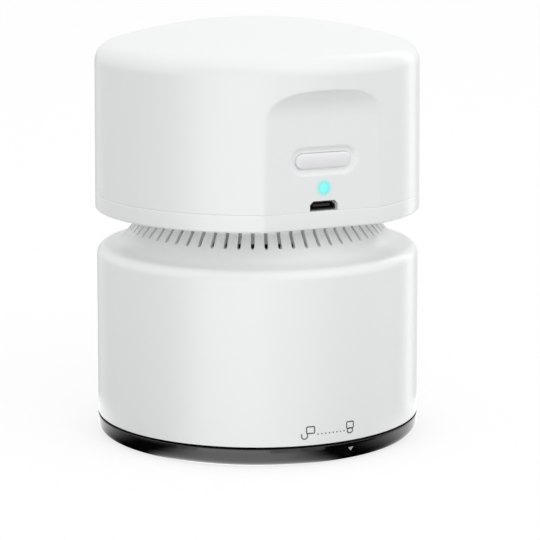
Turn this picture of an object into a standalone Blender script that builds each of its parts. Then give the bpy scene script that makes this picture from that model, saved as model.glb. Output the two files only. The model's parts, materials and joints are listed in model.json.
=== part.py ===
"""Desktop mini vacuum cleaner, modelled as an assembly of separate pieces.

A white body with a waist of vent slots stands on a black base ring that turns to
unlock. The base lifts dust through a brushed recess and a central duct into the
chamber. A filter, a fan and a motor hang above the chamber, and the upper housing
holds the cell, the circuit board and the button on its flat facet.

All sizes are in metres, with +Z up. The origin is the middle of the face that the
vacuum rests on, and the flat facet with the button faces -Y.
"""
import math

import bmesh
import bpy
from mathutils import Matrix, Vector

# Clearances and counts that all pieces share
GAP = 0.0003
OVERRUN = 0.002
EMBED = 0.0006
HOUSING_STEPS = 44
DISC_STEPS = 28
INNER_STEPS = 20
SMALL_STEPS = 12
HOLE_STEPS = 8
FILLET_STEPS = 2
MERGE_DISTANCE = 0.000001
SHARP_ANGLE = math.radians(32)
BEVEL_ANGLE = math.radians(50)
ARC_STEPS = 4

# Driving radius: the body's at its top edge, which the upper housing shares
BODY_RADIUS = 0.04185

# Black base ring, its foot, its plate and the collar that goes up into the body
RING_PROUD = 0.00005
RING_HEIGHT = 0.0049
RING_ROUND_HEIGHT = 0.0025
FOOT_UNDERCUT = 0.0029
FOOT_WIDTH = 0.0046
RECESS_DEPTH = 0.0052
PLATE_THICKNESS = 0.0016
COLLAR_WALL = 0.0015
RING_ROUND_STEPS = 4

# Bayonet: lugs on the collar turn in over ledges inside the body.
# A first turn is counted from +X, and an azimuth from the facet.
LUG_COUNT = 3
LUG_FIRST_TURN = math.radians(30)
LUG_ANGLE = math.radians(14)
LEDGE_ANGLE = math.radians(15)
STOP_ANGLE = math.radians(2.5)
LUG_HEIGHT = 0.0016
LUG_REACH = 0.00195
LEDGE_RISE = 0.0013
LEDGE_HEIGHT = 0.0015

# Intake duct in the middle of the plate, with a cap over its mouth
DUCT_BORE = 0.0076
DUCT_WALL = 0.0012
DUCT_FILTER_GAP = 0.0102
DUCT_FLANGE_WIDTH = 0.0024
DUCT_FLANGE_HEIGHT = 0.0011
DUCT_CAP_GAP = 0.0042
DUCT_CAP_HEIGHT = 0.0022
DUCT_CAP_WALL = 0.0012
DUCT_CAP_OVERHANG = 0.0022
DUCT_LEG_COUNT = 3
DUCT_LEG_WIDTH = 0.0014

# Brush strips under the plate
BRUSH_COUNT = 4
BRUSH_ANGLE = math.radians(62)
BRUSH_FIRST_TURN = math.radians(45)
BRUSH_INSET = 0.0092
BRUSH_WIDTH = 0.0034
BRUSH_BACK_THICKNESS = 0.0010
BRUSH_POCKET_DEPTH = 0.0006
BRUSH_FLOOR_GAP = 0.0003
BRUSH_COLUMN_COUNT = 25
BRUSH_ROW_COUNT = 3
BRUSH_STEPS = 5
BRUSH_SPLAY = 0.0003
STRAND_RADIUS = 0.00024
STRAND_TIP_RADIUS = 0.00014
STRAND_SIDE_COUNT = 3

# White body shell, its shoulder and the neck with the vent slots
BODY_DRAFT = 0.0002
BODY_WALL = 0.0019
BODY_WALL_HEIGHT = 0.0428
BODY_EDGE_FILLET = 0.0021
SHOULDER_RISE = 0.0011
SHOULDER_WIDTH = 0.00545
WAIST_FILLET = 0.0030
WAIST_WIDTH = 0.0064
NECK_RISE = 0.0077
NECK_HEIGHT = 0.0038
SHROUD_STEP_WIDTH = 0.0018
SHROUD_STEP_DROP = 0.0020

# Vent slots round the neck
SLOT_COUNT = 60
SLOT_WIDTH = 0.0009
SLOT_FOOT_RISE = 0.0044
SLOT_HEAD_DROP = 0.0019
SLOT_REACH = 0.0060
SLOT_FIRST_SHARE = 0.5
SLOT_ROUND_SHARE = 0.48
SLOT_ROUND_STEPS = 1

# Upper housing: band, deck and top cover
BAND_HEIGHT = 0.0038
BAND_PROUD = 0.0003
BAND_FILLET = 0.0009
BAND_RIM_WALL = 0.0020
DECK_RISE = 0.0013
DECK_THICKNESS = 0.0015
COVER_DRAFT = 0.00027
COVER_HEIGHT = 0.0443
COVER_WALL = 0.0020
CROWN_RADIUS = 0.129
CROWN_FILLET = 0.0053
CROWN_STEPS = 3
CROWN_FILLET_STEPS = 4
LIP_WALL = 0.0014
LIP_HEIGHT = 0.0030
BEAD_COUNT = 4
BEAD_ANGLE = math.radians(12)
BEAD_FIRST_TURN = math.radians(45)
BEAD_DEPTH = 0.0005
BEAD_HEIGHT = 0.0008
BEAD_RISE = 0.0013

# Flat facet on the front, with a hollowed roof
FACET_DEPTH = 0.00291
FACET_ROOF_FOOT = 0.0213
FACET_ROOF_HEIGHT = 0.0093
FACET_ROOF_DEPTH = 0.0045
FACET_ROOF_STEPS = 6

# Power button and its recess
BUTTON_RISE = 0.0128
BUTTON_TRAVEL = 0.0006
BUTTON_WIDTH = 0.0150
BUTTON_HEIGHT = 0.0044
BUTTON_PROUD = 0.0002
BUTTON_EDGE = 0.0007
BUTTON_FLANGE_MARGIN = 0.0010
BUTTON_FLANGE_THICKNESS = 0.0010
BUTTON_RECESS_MARGIN = 0.0015
BUTTON_RECESS_DEPTH = 0.0009
BUTTON_RECESS_SLOPE = 0.0008
STADIUM_ROUND_SHARE = 0.495
STADIUM_STEPS = 4

# Lamp below the button and the light pipe in front of it
LAMP_RISE = 0.0057
LAMP_WIDTH = 0.0030
LAMP_HEIGHT = 0.0018
LAMP_DEPTH = 0.0012
PIPE_RADIUS = 0.0010
PIPE_FLANGE_RADIUS = 0.0019
PIPE_FLANGE_THICKNESS = 0.0008

# Charging socket of the micro size
SOCKET_RISE = 0.00125
SOCKET_WIDTH = 0.0075
SOCKET_HEIGHT = 0.00245
SOCKET_SHELL_WALL = 0.0003
SOCKET_CHAMFER = 0.0009
SOCKET_SETBACK = 0.0007
SOCKET_CAVITY_DEPTH = 0.0050
TONGUE_WIDTH = 0.0046
TONGUE_THICKNESS = 0.0006
TONGUE_SETBACK = 0.0008

# Circuit board with its switch and charge chip
BOARD_WIDTH = 0.0260
BOARD_HEIGHT = 0.0235
BOARD_THICKNESS = 0.0016
BOARD_CORNER = 0.0015
BOARD_BEHIND_FACET = 0.00754
SWITCH_SIZE = 0.0060
SWITCH_DEPTH = 0.0025
PLUNGER_RADIUS = 0.0017
PLUNGER_POCKET_DEPTH = 0.0016
CHIP_WIDTH = 0.0050
CHIP_HEIGHT = 0.0040
CHIP_DEPTH = 0.0015
CHIP_ASIDE = 0.0085
CHIP_RISE = 0.0140
BOARD_POST_WIDTH = 0.0038
BOARD_POST_DEPTH = 0.0032
BOARD_POST_ASIDE = 0.0084
BOARD_SCREW_DROP = 0.0026

# Fan shroud above the dust chamber
SHROUD_THICKNESS = 0.0015
SHROUD_RIM_WIDTH = 0.00995
SHROUD_BOWL_DEPTH = 0.0034
SHROUD_BOWL_STEPS = 3
EYE_RADIUS = 0.0086
EYE_LIP = 0.0009
POST_RADIUS = 0.0022
POST_NECK_GAP = 0.0030
POST_COUNT = 3
POST_FIRST_AZIMUTH = math.radians(90)
FILTER_COLLAR_INSET = 0.0052
FILTER_COLLAR_WALL = 0.0014
FILTER_COLLAR_DROP = 0.0034

# Impeller and motor
IMPELLER_GAP = 0.0008
IMPELLER_PLATE = 0.0010
IMPELLER_HEAD_GAP = 0.0010
IMPELLER_HUB_RADIUS = 0.0040
BLADE_COUNT = 9
BLADE_THICKNESS = 0.0010
BLADE_ROOT_RADIUS = 0.0062
BLADE_SWEEP = math.radians(58)
BLADE_STEPS = 4
BLADE_CURL_SHARE = 0.2
SHAFT_RADIUS = 0.0010
SHAFT_SOCKET_DEPTH = 0.0060
MOTOR_EDGE = 0.0010
MOTOR_BOSS_RADIUS = 0.0031
MOTOR_BOSS_HEIGHT = 0.0015
END_CAP_THICKNESS = 0.0020
END_CAP_INSET = 0.0010
TERMINAL_WIDTH = 0.0022
TERMINAL_THICKNESS = 0.0006
TERMINAL_HEIGHT = 0.0014
TERMINAL_INSET = 0.0042

# Motor mount: a cup that hangs through the deck
MOUNT_WALL = 0.0015
MOUNT_FLANGE_WIDTH = 0.0056
MOUNT_SHOULDER = 0.0064
MOUNT_FLANGE_THICKNESS = 0.0012
MOUNT_CUP_DEPTH = 0.0140
MOUNT_THROAT_DROP = 0.0027
MOUNT_FLOOR_DROP = 0.0102
MOUNT_CONE_FOOT = 0.0012

# Cell and its cradle
CELL_RADIUS = 0.0070
CELL_CEILING_GAP = 0.0005
CELL_EDGE = 0.0006
CRADLE_WALL = 0.0016
CRADLE_CHEEK = 0.0015
CRADLE_SIDE_ROOM = 0.00505
CRADLE_LIFT = 0.0014
CRADLE_WALL_SHARE = 0.35
CRADLE_FOOT_LENGTH = 0.0062
CRADLE_BOSS_RADIUS = 0.0026
CRADLE_BOSS_HEIGHT = 0.0040
PAD_LENGTH = 0.0200
PAD_WIDTH = 0.0100
PAD_CEILING_GAP = 0.0006

# Filter under the fan shroud
GASKET_THICKNESS = 0.0009
GASKET_WIDTH = 0.0034
FILTER_RING_HEIGHT = 0.0012
FILTER_RING_WIDTH = 0.0035
FILTER_CUP_WALL = 0.0013
FILTER_CUP_DEPTH = 0.0095
FILTER_WINDOW_COUNT = 8
FILTER_RIB_WIDTH = 0.0054
FILTER_WINDOW_HEIGHT = 0.0054
FILTER_WINDOW_SILL = 0.00065
PLEAT_COUNT = 20
PLEAT_DEPTH = 0.0022
PLEAT_THICKNESS = 0.0010

# Screws: one size for the posts, one for the small pieces
POST_SCREW_RADIUS = 0.00085
POST_SCREW_LENGTH = 0.0090
SMALL_SCREW_RADIUS = 0.0007
SMALL_SCREW_LENGTH = 0.0046
SCREW_HEAD_HEIGHT = 0.0011
SCREW_HEAD_SHARE = 1.9

# Leads from the cell and the motor to the board
LEAD_RADIUS = 0.0006
LEAD_BEVEL_STEPS = 1
LEAD_STEPS = 2
LEAD_STRAIGHT = 0.0020
MOTOR_LEAD_ASIDE = 0.0045
MOTOR_LEAD_DROP = 0.0062
CELL_LEAD_RISE = 0.0045
CELL_LEAD_SWING = 0.0042
CELL_LEAD_ASIDE = 0.0122
CELL_LEAD_DROP = 0.0130

# Heights, worked out from the sizes above, from the floor upward
PLATE_TOP = RECESS_DEPTH + PLATE_THICKNESS
BODY_FOOT = RING_HEIGHT + GAP
LEDGE_FOOT = BODY_FOOT + LEDGE_RISE
LEDGE_TOP = LEDGE_FOOT + LEDGE_HEIGHT
LUG_FOOT = LEDGE_TOP + GAP
LUG_TOP = LUG_FOOT + LUG_HEIGHT
BODY_EDGE = BODY_FOOT + BODY_WALL_HEIGHT
WAIST_CORNER = BODY_EDGE + SHOULDER_RISE
NECK_FOOT = WAIST_CORNER + NECK_RISE
NECK_TOP = NECK_FOOT + NECK_HEIGHT
SHROUD_STEP = BODY_EDGE - SHROUD_STEP_DROP
SLOT_FOOT = WAIST_CORNER + SLOT_FOOT_RISE
SLOT_HEAD = NECK_TOP - SLOT_HEAD_DROP
DECK_FOOT = NECK_TOP + GAP
DECK_TOP = DECK_FOOT + DECK_THICKNESS
BAND_FOOT = DECK_FOOT - DECK_RISE
BAND_TOP = BAND_FOOT + BAND_HEIGHT
COVER_FOOT = BAND_TOP + GAP
COVER_TOP = COVER_FOOT + COVER_HEIGHT
LIP_TOP = COVER_FOOT + LIP_HEIGHT
FACET_ROOF = COVER_FOOT + FACET_ROOF_FOOT

# Outer radii, from the driving radius
BODY_FOOT_RADIUS = BODY_RADIUS + BODY_DRAFT
RING_RADIUS = BODY_FOOT_RADIUS + RING_PROUD
FOOT_RADIUS = RING_RADIUS - FOOT_UNDERCUT
WAIST_CORNER_RADIUS = BODY_RADIUS - SHOULDER_WIDTH
NECK_RADIUS = WAIST_CORNER_RADIUS - WAIST_WIDTH
BAND_RADIUS = BODY_RADIUS + BAND_PROUD
COVER_FOOT_RADIUS = BODY_RADIUS + COVER_DRAFT
FACET_DISTANCE = BODY_RADIUS - FACET_DEPTH
FACET_HALF_WIDTH = math.sqrt(BAND_RADIUS ** 2 - FACET_DISTANCE ** 2) + OVERRUN
BRUSH_RADIUS = FOOT_RADIUS - BRUSH_INSET

# Radii inside the body and the neck
BODY_INNER = BODY_RADIUS - BODY_WALL
COLLAR_RADIUS = BODY_INNER - LUG_REACH
COLLAR_INNER = COLLAR_RADIUS - COLLAR_WALL
SHROUD_BOWL_RADIUS = BODY_INNER - SHROUD_RIM_WIDTH
FILTER_COLLAR_RADIUS = SHROUD_BOWL_RADIUS - FILTER_COLLAR_INSET
NECK_INNER = NECK_RADIUS - BODY_WALL
LIP_RADIUS = BODY_RADIUS - COVER_WALL - GAP
POST_CIRCLE = NECK_INNER - POST_NECK_GAP - POST_RADIUS
IMPELLER_RADIUS = POST_CIRCLE - POST_RADIUS - IMPELLER_GAP
MOUNT_RADIUS = POST_CIRCLE - POST_RADIUS - GAP
CUP_OUTER = MOUNT_RADIUS - MOUNT_SHOULDER
CUP_INNER = CUP_OUTER - MOUNT_WALL
MOTOR_RADIUS = CUP_INNER - GAP
TERMINAL_ASIDE = MOTOR_RADIUS - TERMINAL_INSET

# Places of the fan and the motor
SHROUD_RIM_TOP = SHROUD_STEP - GAP
SHROUD_RIM_FOOT = SHROUD_RIM_TOP - SHROUD_THICKNESS
EYE_TOP = SHROUD_RIM_TOP - SHROUD_BOWL_DEPTH
EYE_FOOT = EYE_TOP - SHROUD_THICKNESS
MOUNT_FLANGE_FOOT = DECK_TOP + GAP
MOUNT_FLANGE_TOP = MOUNT_FLANGE_FOOT + MOUNT_FLANGE_THICKNESS
MOUNT_FLOOR = DECK_TOP - MOUNT_FLOOR_DROP
MOTOR_FOOT = MOUNT_FLOOR + MOUNT_WALL + GAP
IMPELLER_TOP = MOUNT_FLOOR - IMPELLER_HEAD_GAP
BLADE_TOP = IMPELLER_TOP - IMPELLER_PLATE

# Places of the cell and its cradle, and of the motor's top, which ends below them
CRADLE_OUTER = LIP_RADIUS - LIP_WALL - CRADLE_SIDE_ROOM - CRADLE_FOOT_LENGTH
CRADLE_INNER = CRADLE_OUTER - CRADLE_WALL
CRADLE_WIDTH = 2 * (CELL_RADIUS + GAP + CRADLE_CHEEK)
CELL_LENGTH = 2 * (CRADLE_INNER - GAP)
CEILING_HUB = COVER_TOP - CROWN_RADIUS
CEILING_RADIUS = CROWN_RADIUS - COVER_WALL
CELL_CEILING = CEILING_HUB + math.sqrt(CEILING_RADIUS ** 2 - (CELL_LENGTH / 2) ** 2)
CELL_CENTRE = CELL_CEILING - CELL_CEILING_GAP - CELL_RADIUS
CRADLE_FOOT = CELL_CENTRE - CELL_RADIUS - GAP - CRADLE_WALL
END_CAP_TOP = CRADLE_FOOT - CRADLE_LIFT - TERMINAL_HEIGHT
END_CAP_FOOT = END_CAP_TOP - END_CAP_THICKNESS
MOTOR_TOP = END_CAP_FOOT - GAP
CRADLE_BOSS_TOP = DECK_TOP + CRADLE_BOSS_HEIGHT
CRADLE_BOSS_ASIDE = CRADLE_OUTER + CRADLE_FOOT_LENGTH / 2

# Places on the board, which stands behind the facet
BOARD_FRONT = -FACET_DISTANCE + BOARD_BEHIND_FACET
BOARD_BACK = BOARD_FRONT + BOARD_THICKNESS
BOARD_FOOT = DECK_TOP + GAP
BOARD_TOP = BOARD_FOOT + BOARD_HEIGHT
BOARD_SCREW_Z = BOARD_TOP - BOARD_SCREW_DROP
FACET_BACK = -FACET_DISTANCE + COVER_WALL
BUTTON_Z = COVER_FOOT + BUTTON_RISE
LAMP_Z = COVER_FOOT + LAMP_RISE
SOCKET_Z = COVER_FOOT + SOCKET_RISE
SWITCH_FRONT = BOARD_FRONT - GAP - SWITCH_DEPTH
SOCKET_FRONT = -FACET_DISTANCE + SOCKET_SETBACK

# Places of the filter
FILTER_SEAT = EYE_FOOT + EYE_LIP
GASKET_TOP = FILTER_SEAT - GAP
FILTER_TOP = GASKET_TOP - GASKET_THICKNESS - GAP
FILTER_RING_RADIUS = FILTER_COLLAR_RADIUS - FILTER_COLLAR_WALL - GAP
FILTER_FLOOR = FILTER_TOP - FILTER_CUP_DEPTH
FILTER_CUP_RADIUS = FILTER_RING_RADIUS - FILTER_RING_WIDTH
FILTER_WINDOW_PITCH = math.tau * FILTER_CUP_RADIUS / FILTER_WINDOW_COUNT
FILTER_WINDOW_WIDTH = FILTER_WINDOW_PITCH - FILTER_RIB_WIDTH
DUCT_TOP = FILTER_FLOOR - DUCT_FILTER_GAP

MATERIALS = {
    "white_abs": ("#F1F2F4", 0.18, 0.0),
    "black_abs": ("#101113", 0.12, 0.0),
    "grey_plastic": ("#C9CBCF", 0.40, 0.0),
    "button_abs": ("#ECEEF0", 0.24, 0.0),
    "motor_steel": ("#B4B7BB", 0.32, 1.0),
    "shaft_steel": ("#C9CCD0", 0.20, 1.0),
    "screw_steel": ("#8E9196", 0.30, 1.0),
    "end_cap_nylon": ("#E4E2DA", 0.45, 0.0),
    "cell_sleeve": ("#3E7FB5", 0.35, 0.0),
    "board_laminate": ("#1F6B45", 0.45, 0.0),
    "chip_epoxy": ("#1B1B1D", 0.50, 0.0),
    "socket_tin": ("#C7C9CC", 0.25, 1.0),
    "lamp_lens": ("#7FFAF0", 0.20, 0.0),
    "foam": ("#3B3D40", 0.90, 0.0),
    "filter_paper": ("#EFEDE6", 0.85, 0.0),
    "rubber": ("#1C1D1F", 0.70, 0.0),
    "bristle_nylon": ("#26272A", 0.55, 0.0),
    "lead_red": ("#B3242B", 0.45, 0.0),
    "lead_black": ("#17181A", 0.45, 0.0),
}


def clear_scene():
    """Remove what the scene holds before the model is built."""
    for item in list(bpy.data.objects):
        bpy.data.objects.remove(item, do_unlink=True)


def new_collection(name):
    """A collection linked under the scene's own."""
    group = bpy.data.collections.new(name)
    bpy.context.scene.collection.children.link(group)
    return group


def colour_of(code):
    """Linear colour of an sRGB hex code."""
    channels = []
    for start in (1, 3, 5):
        value = int(code[start:start + 2], 16) / 255
        linear = value / 12.92 if value <= 0.04045 else ((value + 0.055) / 1.055) ** 2.4
        channels.append(linear)
    return (*channels, 1.0)


def material(name):
    """The named material, made once."""
    found = bpy.data.materials.get(name)
    if found:
        return found
    code, roughness, metallic = MATERIALS[name]
    made = bpy.data.materials.new(name)
    made.use_nodes = True
    shader = made.node_tree.nodes["Principled BSDF"]
    shader.inputs["Base Color"].default_value = colour_of(code)
    shader.inputs["Roughness"].default_value = roughness
    shader.inputs["Metallic"].default_value = metallic
    made.diffuse_color = colour_of(code)
    return made


def place(name, mesh, finish=None):
    """An object for a mesh, as a part when it has a finish and as a tool if not."""
    made = bpy.data.objects.new(name, mesh)
    if finish:
        mesh.materials.append(material(finish))
        bpy.data.collections["mini_vacuum"].objects.link(made)
    else:
        made.hide_render = True
        made.display_type = "WIRE"
        bpy.data.collections["cutters"].objects.link(made)
    return made


def smooth(item):
    """Shade an object smooth, with flat faces kept flat by weighted normals."""
    item.data.shade_smooth()
    item.data.set_sharp_from_angle(angle=SHARP_ANGLE)
    shading = item.modifiers.new("shading", "WEIGHTED_NORMAL")
    shading.keep_sharp = True
    return item


def mesh_from(name, build):
    """A mesh filled by a function that works on a bmesh."""
    work = bmesh.new()
    build(work)
    bmesh.ops.recalc_face_normals(work, faces=work.faces)
    mesh = bpy.data.meshes.new(name)
    work.to_mesh(mesh)
    work.free()
    return mesh


def filleted(corners, steps=FILLET_STEPS):
    """Points of a path given by corners, each a radius, a height and a fillet."""
    points = []
    last = len(corners) - 1
    for index, (across, height, fillet) in enumerate(corners):
        here = Vector((across, height))
        if index in (0, last) or not fillet:
            points.append(here)
            continue
        before = (Vector(corners[index - 1][:2]) - here).normalized()
        after = (Vector(corners[index + 1][:2]) - here).normalized()
        half = before.angle(after) / 2
        centre = here + (before + after).normalized() * fillet / math.sin(half)
        arm = here + before * fillet / math.tan(half) - centre
        turn = math.copysign(math.pi - 2 * half, before.x * after.y - before.y * after.x)
        for step in range(steps + 1):
            points.append(centre + Matrix.Rotation(-turn * step / steps, 2) @ arm)
    return [(point.x, point.y) for point in points]


def turned(name, profile, finish=None, steps=INNER_STEPS):
    """A turned solid. Its profile runs down the outer side and back up the inner."""
    points = [Vector((across, 0, height)) for across, height in profile]
    on_axis = points[0].x == 0 and points[-1].x == 0
    edges = [(index, index + 1) for index in range(len(points) - 1)]
    if not on_axis:
        edges.append((len(points) - 1, 0))
    mesh = bpy.data.meshes.new(name)
    mesh.from_pydata(points, edges, [])
    item = place(name, mesh, finish)
    screw = item.modifiers.new("turn", "SCREW")
    screw.steps = steps
    screw.render_steps = steps
    screw.use_merge_vertices = True
    screw.merge_threshold = MERGE_DISTANCE
    screw.use_smooth_shade = True
    return item


def box(name, size, centre, finish=None):
    """A box given by its size and its centre."""
    def build(work):
        bmesh.ops.create_cube(work, size=1)
        bmesh.ops.scale(work, vec=Vector(size), verts=work.verts)

    item = place(name, mesh_from(name, build), finish)
    item.location = centre
    return item


def rounded_box(name, size, centre, axis, corner, finish=None, steps=STADIUM_STEPS):
    """A box whose four edges along one axis are rounded."""
    def build(work):
        bmesh.ops.create_cube(work, size=1)
        bmesh.ops.scale(work, vec=Vector(size), verts=work.verts)
        along = [
            edge for edge in work.edges
            if abs((edge.verts[0].co - edge.verts[1].co)[axis]) > size[axis] / 2
        ]
        bmesh.ops.bevel(
            work, geom=along, offset=corner, segments=steps, profile=0.5, affect="EDGES"
        )

    item = place(name, mesh_from(name, build), finish)
    item.location = centre
    return item


def rod(name, radius, length, centre, axis=2, finish=None, steps=SMALL_STEPS):
    """A cylinder along one axis, given by its centre."""
    def build(work):
        bmesh.ops.create_cone(
            work, cap_ends=True, segments=steps, radius1=radius, radius2=radius, depth=length,
        )

    item = place(name, mesh_from(name, build), finish)
    item.location = centre
    if axis == 0:
        item.rotation_euler.y = math.radians(90)
    elif axis == 1:
        item.rotation_euler.x = math.radians(-90)
    return item


def arc_block(name, inner, outer, foot, top, start, sweep, steps=ARC_STEPS, finish=None):
    """A block that follows the round, from one turn about Z through a sweep."""
    def build(work):
        corners = [(inner, foot), (outer, foot), (outer, top), (inner, top)]
        points = [work.verts.new((across, 0, height)) for across, height in corners]
        face = work.faces.new(points)
        bmesh.ops.rotate(
            work, cent=(0, 0, 0), matrix=Matrix.Rotation(start, 3, "Z"), verts=points
        )
        bmesh.ops.spin(
            work, geom=[face, *face.edges, *points], angle=sweep, steps=steps,
            axis=(0, 0, 1), cent=(0, 0, 0),
        )

    return place(name, mesh_from(name, build), finish)


def flat_solid(name, outlines, thickness, matrix, finish=None):
    """A flat outline, with holes, made as thick as asked and placed by a matrix."""
    curve = bpy.data.curves.new(name, "CURVE")
    curve.dimensions = "2D"
    curve.fill_mode = "BOTH"
    curve.extrude = thickness / 2
    for outline in outlines:
        spline = curve.splines.new("POLY")
        spline.points.add(len(outline) - 1)
        for point, (across, up) in zip(spline.points, outline):
            point.co = (across, up, 0, 1)
        spline.use_cyclic_u = True
    return mesh_of_curve(name, curve, matrix, finish)


def mesh_of_curve(name, curve, matrix, finish):
    """Turn a curve into a closed mesh object and remove the curve."""
    guide = bpy.data.objects.new(f"{name}_curve", curve)
    bpy.data.collections["cutters"].objects.link(guide)
    bpy.context.view_layer.update()
    graph = bpy.context.evaluated_depsgraph_get()
    mesh = bpy.data.meshes.new_from_object(guide.evaluated_get(graph))
    work = bmesh.new()
    work.from_mesh(mesh)
    bmesh.ops.remove_doubles(work, verts=work.verts, dist=MERGE_DISTANCE)
    bmesh.ops.recalc_face_normals(work, faces=work.faces)
    work.to_mesh(mesh)
    work.free()
    mesh.materials.clear()
    bpy.data.objects.remove(guide, do_unlink=True)
    bpy.data.curves.remove(curve)
    item = place(name, mesh, finish)
    item.matrix_world = matrix
    return item


def combine(item, tool, operation):
    """Add a Boolean modifier that uses another object."""
    step = item.modifiers.new(tool.name, "BOOLEAN")
    step.operation = operation
    step.solver = "EXACT"
    step.object = tool
    return item


def cut(item, *tools):
    """Cut an object by others."""
    for tool in tools:
        combine(item, tool, "DIFFERENCE")


def add(item, *tools):
    """Join other shapes to an object as one body."""
    for tool in tools:
        combine(item, tool, "UNION")


def bevel(item, width, steps=2):
    """Round the sharp edges of an object."""
    edge = item.modifiers.new("round", "BEVEL")
    edge.width = width
    edge.segments = steps
    edge.limit_method = "ANGLE"
    edge.angle_limit = BEVEL_ANGLE
    return item


def around(azimuth, radius, height=0.0):
    """The point at an azimuth, counted from the facet toward +X."""
    return (radius * math.sin(azimuth), -radius * math.cos(azimuth), height)


def ring_profile(inner, outer, foot, top):
    """Profile of a plain ring."""
    return [(outer, top), (outer, foot), (inner, foot), (inner, top)]


def gathered(name, tools, matrices):
    """One tool made of others that don't touch, each copied by every matrix."""
    def build(work):
        for tool in tools:
            for matrix in matrices:
                copy = tool.data.copy()
                copy.transform(matrix @ tool.matrix_basis)
                work.from_mesh(copy)
                bpy.data.meshes.remove(copy)

    made = place(name, mesh_from(name, build))
    for tool in tools:
        bpy.data.objects.remove(tool, do_unlink=True)
    return made


def pattern(name, tool, count, first=0.0):
    """Copies of a tool turned round the Z axis, as one tool."""
    turns = [first + math.tau * index / count for index in range(count)]
    return gathered(name, [tool], [Matrix.Rotation(turn, 4, "Z") for turn in turns])


def mirrored(name, *tools):
    """Tools on the right side and their copies on the left, as one tool."""
    return gathered(name, tools, [Matrix.Identity(4), Matrix.Scale(-1, 4, (1, 0, 0))])


def facet_tool(name, inset=0.0):
    """Cutter for the flat facet with its hollowed roof, moved inward by an inset."""
    face = FACET_DISTANCE - inset
    roof = FACET_ROOF + inset
    far = BAND_RADIUS + FACET_ROOF_DEPTH + OVERRUN
    outline = [(far, BAND_FOOT - OVERRUN), (face, BAND_FOOT - OVERRUN)]
    for step in range(FACET_ROOF_STEPS + 1):
        angle = math.pi / 2 * step / FACET_ROOF_STEPS
        out = FACET_ROOF_DEPTH * (1 - math.cos(angle))
        outline.append((face + out, roof + FACET_ROOF_HEIGHT * math.sin(angle)))
    outline.append((far, roof + FACET_ROOF_HEIGHT))
    stand = Matrix(((0, 0, 1, 0), (-1, 0, 0, 0), (0, 1, 0, 0), (0, 0, 0, 1)))
    return flat_solid(name, [outline], FACET_HALF_WIDTH * 2, stand)


def dome_profile(inset, foot, crown_steps, fillet_steps):
    """Outer side of the top cover from the crown down, moved inward by an inset."""
    fillet = CROWN_FILLET - inset
    crown = CROWN_RADIUS - inset
    side = BODY_RADIUS - inset
    centre = side - fillet
    hub = COVER_TOP - CROWN_RADIUS
    rise = math.sqrt((crown - fillet) ** 2 - centre ** 2)
    tangent = math.atan2(centre, rise)
    points = [(0.0, hub + crown)]
    for step in range(1, crown_steps + 1):
        angle = tangent * step / crown_steps
        points.append((crown * math.sin(angle), hub + crown * math.cos(angle)))
    for step in range(1, fillet_steps + 1):
        angle = tangent + (math.pi / 2 - tangent) * step / fillet_steps
        points.append((centre + fillet * math.sin(angle), hub + rise + fillet * math.cos(angle)))
    points.append((COVER_FOOT_RADIUS - inset, foot))
    return points


def make_top_cover():
    """Domed upper housing with the facet, the button recess and its openings."""
    outside = dome_profile(0.0, COVER_FOOT, CROWN_STEPS, CROWN_FILLET_STEPS)
    cover = turned("top_cover", outside + [(0.0, COVER_FOOT)], "white_abs", HOUSING_STEPS)
    cut(cover, facet_tool("facet_cut"))
    groove = COVER_FOOT + BEAD_RISE
    wall = BODY_RADIUS - COVER_WALL
    inside = dome_profile(
        COVER_WALL, COVER_FOOT - OVERRUN, CROWN_STEPS // 2 + 1, CROWN_FILLET_STEPS // 2
    )
    foot_radius, foot = inside.pop()
    inside += [
        (wall, groove + BEAD_HEIGHT + BEAD_DEPTH),
        (wall + BEAD_DEPTH, groove + BEAD_HEIGHT),
        (wall + BEAD_DEPTH, groove - GAP),
        (foot_radius, groove - GAP),
        (foot_radius, foot),
        (0.0, foot),
    ]
    cavity = turned("cover_cavity", inside, steps=HOUSING_STEPS)
    cut(cavity, facet_tool("facet_inner_cut", COVER_WALL))
    cut(cover, cavity)

    depth = BUTTON_RECESS_DEPTH
    margin = BUTTON_RECESS_MARGIN
    recess_height = BUTTON_HEIGHT + 2 * margin
    recess = rounded_box(
        "button_recess",
        (BUTTON_WIDTH + 2 * margin, OVERRUN + depth, recess_height),
        (0, -FACET_DISTANCE + (depth - OVERRUN) / 2, BUTTON_Z),
        1, recess_height * STADIUM_ROUND_SHARE,
    )
    bevel(recess, BUTTON_RECESS_SLOPE)
    hole_height = BUTTON_HEIGHT + 2 * GAP
    hole = rounded_box(
        "button_hole",
        (BUTTON_WIDTH + 2 * GAP, COVER_WALL + 2 * OVERRUN, hole_height),
        (0, -FACET_DISTANCE + COVER_WALL / 2, BUTTON_Z),
        1, hole_height * STADIUM_ROUND_SHARE,
    )
    lamp_hole = rod(
        "lamp_hole", PIPE_RADIUS + GAP, COVER_WALL + 2 * OVERRUN,
        (0, -FACET_DISTANCE + COVER_WALL / 2, LAMP_Z), axis=1,
    )
    cut(cover, recess, hole, lamp_hole, make_socket_hole())
    return smooth(cover)


def socket_outline(margin):
    """Outline of the charging socket, wide side down, grown by a margin."""
    half = SOCKET_WIDTH / 2 + margin
    top = SOCKET_HEIGHT / 2 + margin
    low = -SOCKET_HEIGHT / 2 - margin
    return [
        (half, low), (half, top - SOCKET_CHAMFER), (half - SOCKET_CHAMFER, top),
        (-half + SOCKET_CHAMFER, top), (-half, top - SOCKET_CHAMFER), (-half, low),
    ]


def facing_front(height, depth):
    """Matrix that stands a flat outline up, facing the front, at a height and depth."""
    return Matrix.Translation((0, depth, height)) @ Matrix.Rotation(math.radians(90), 4, "X")


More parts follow.
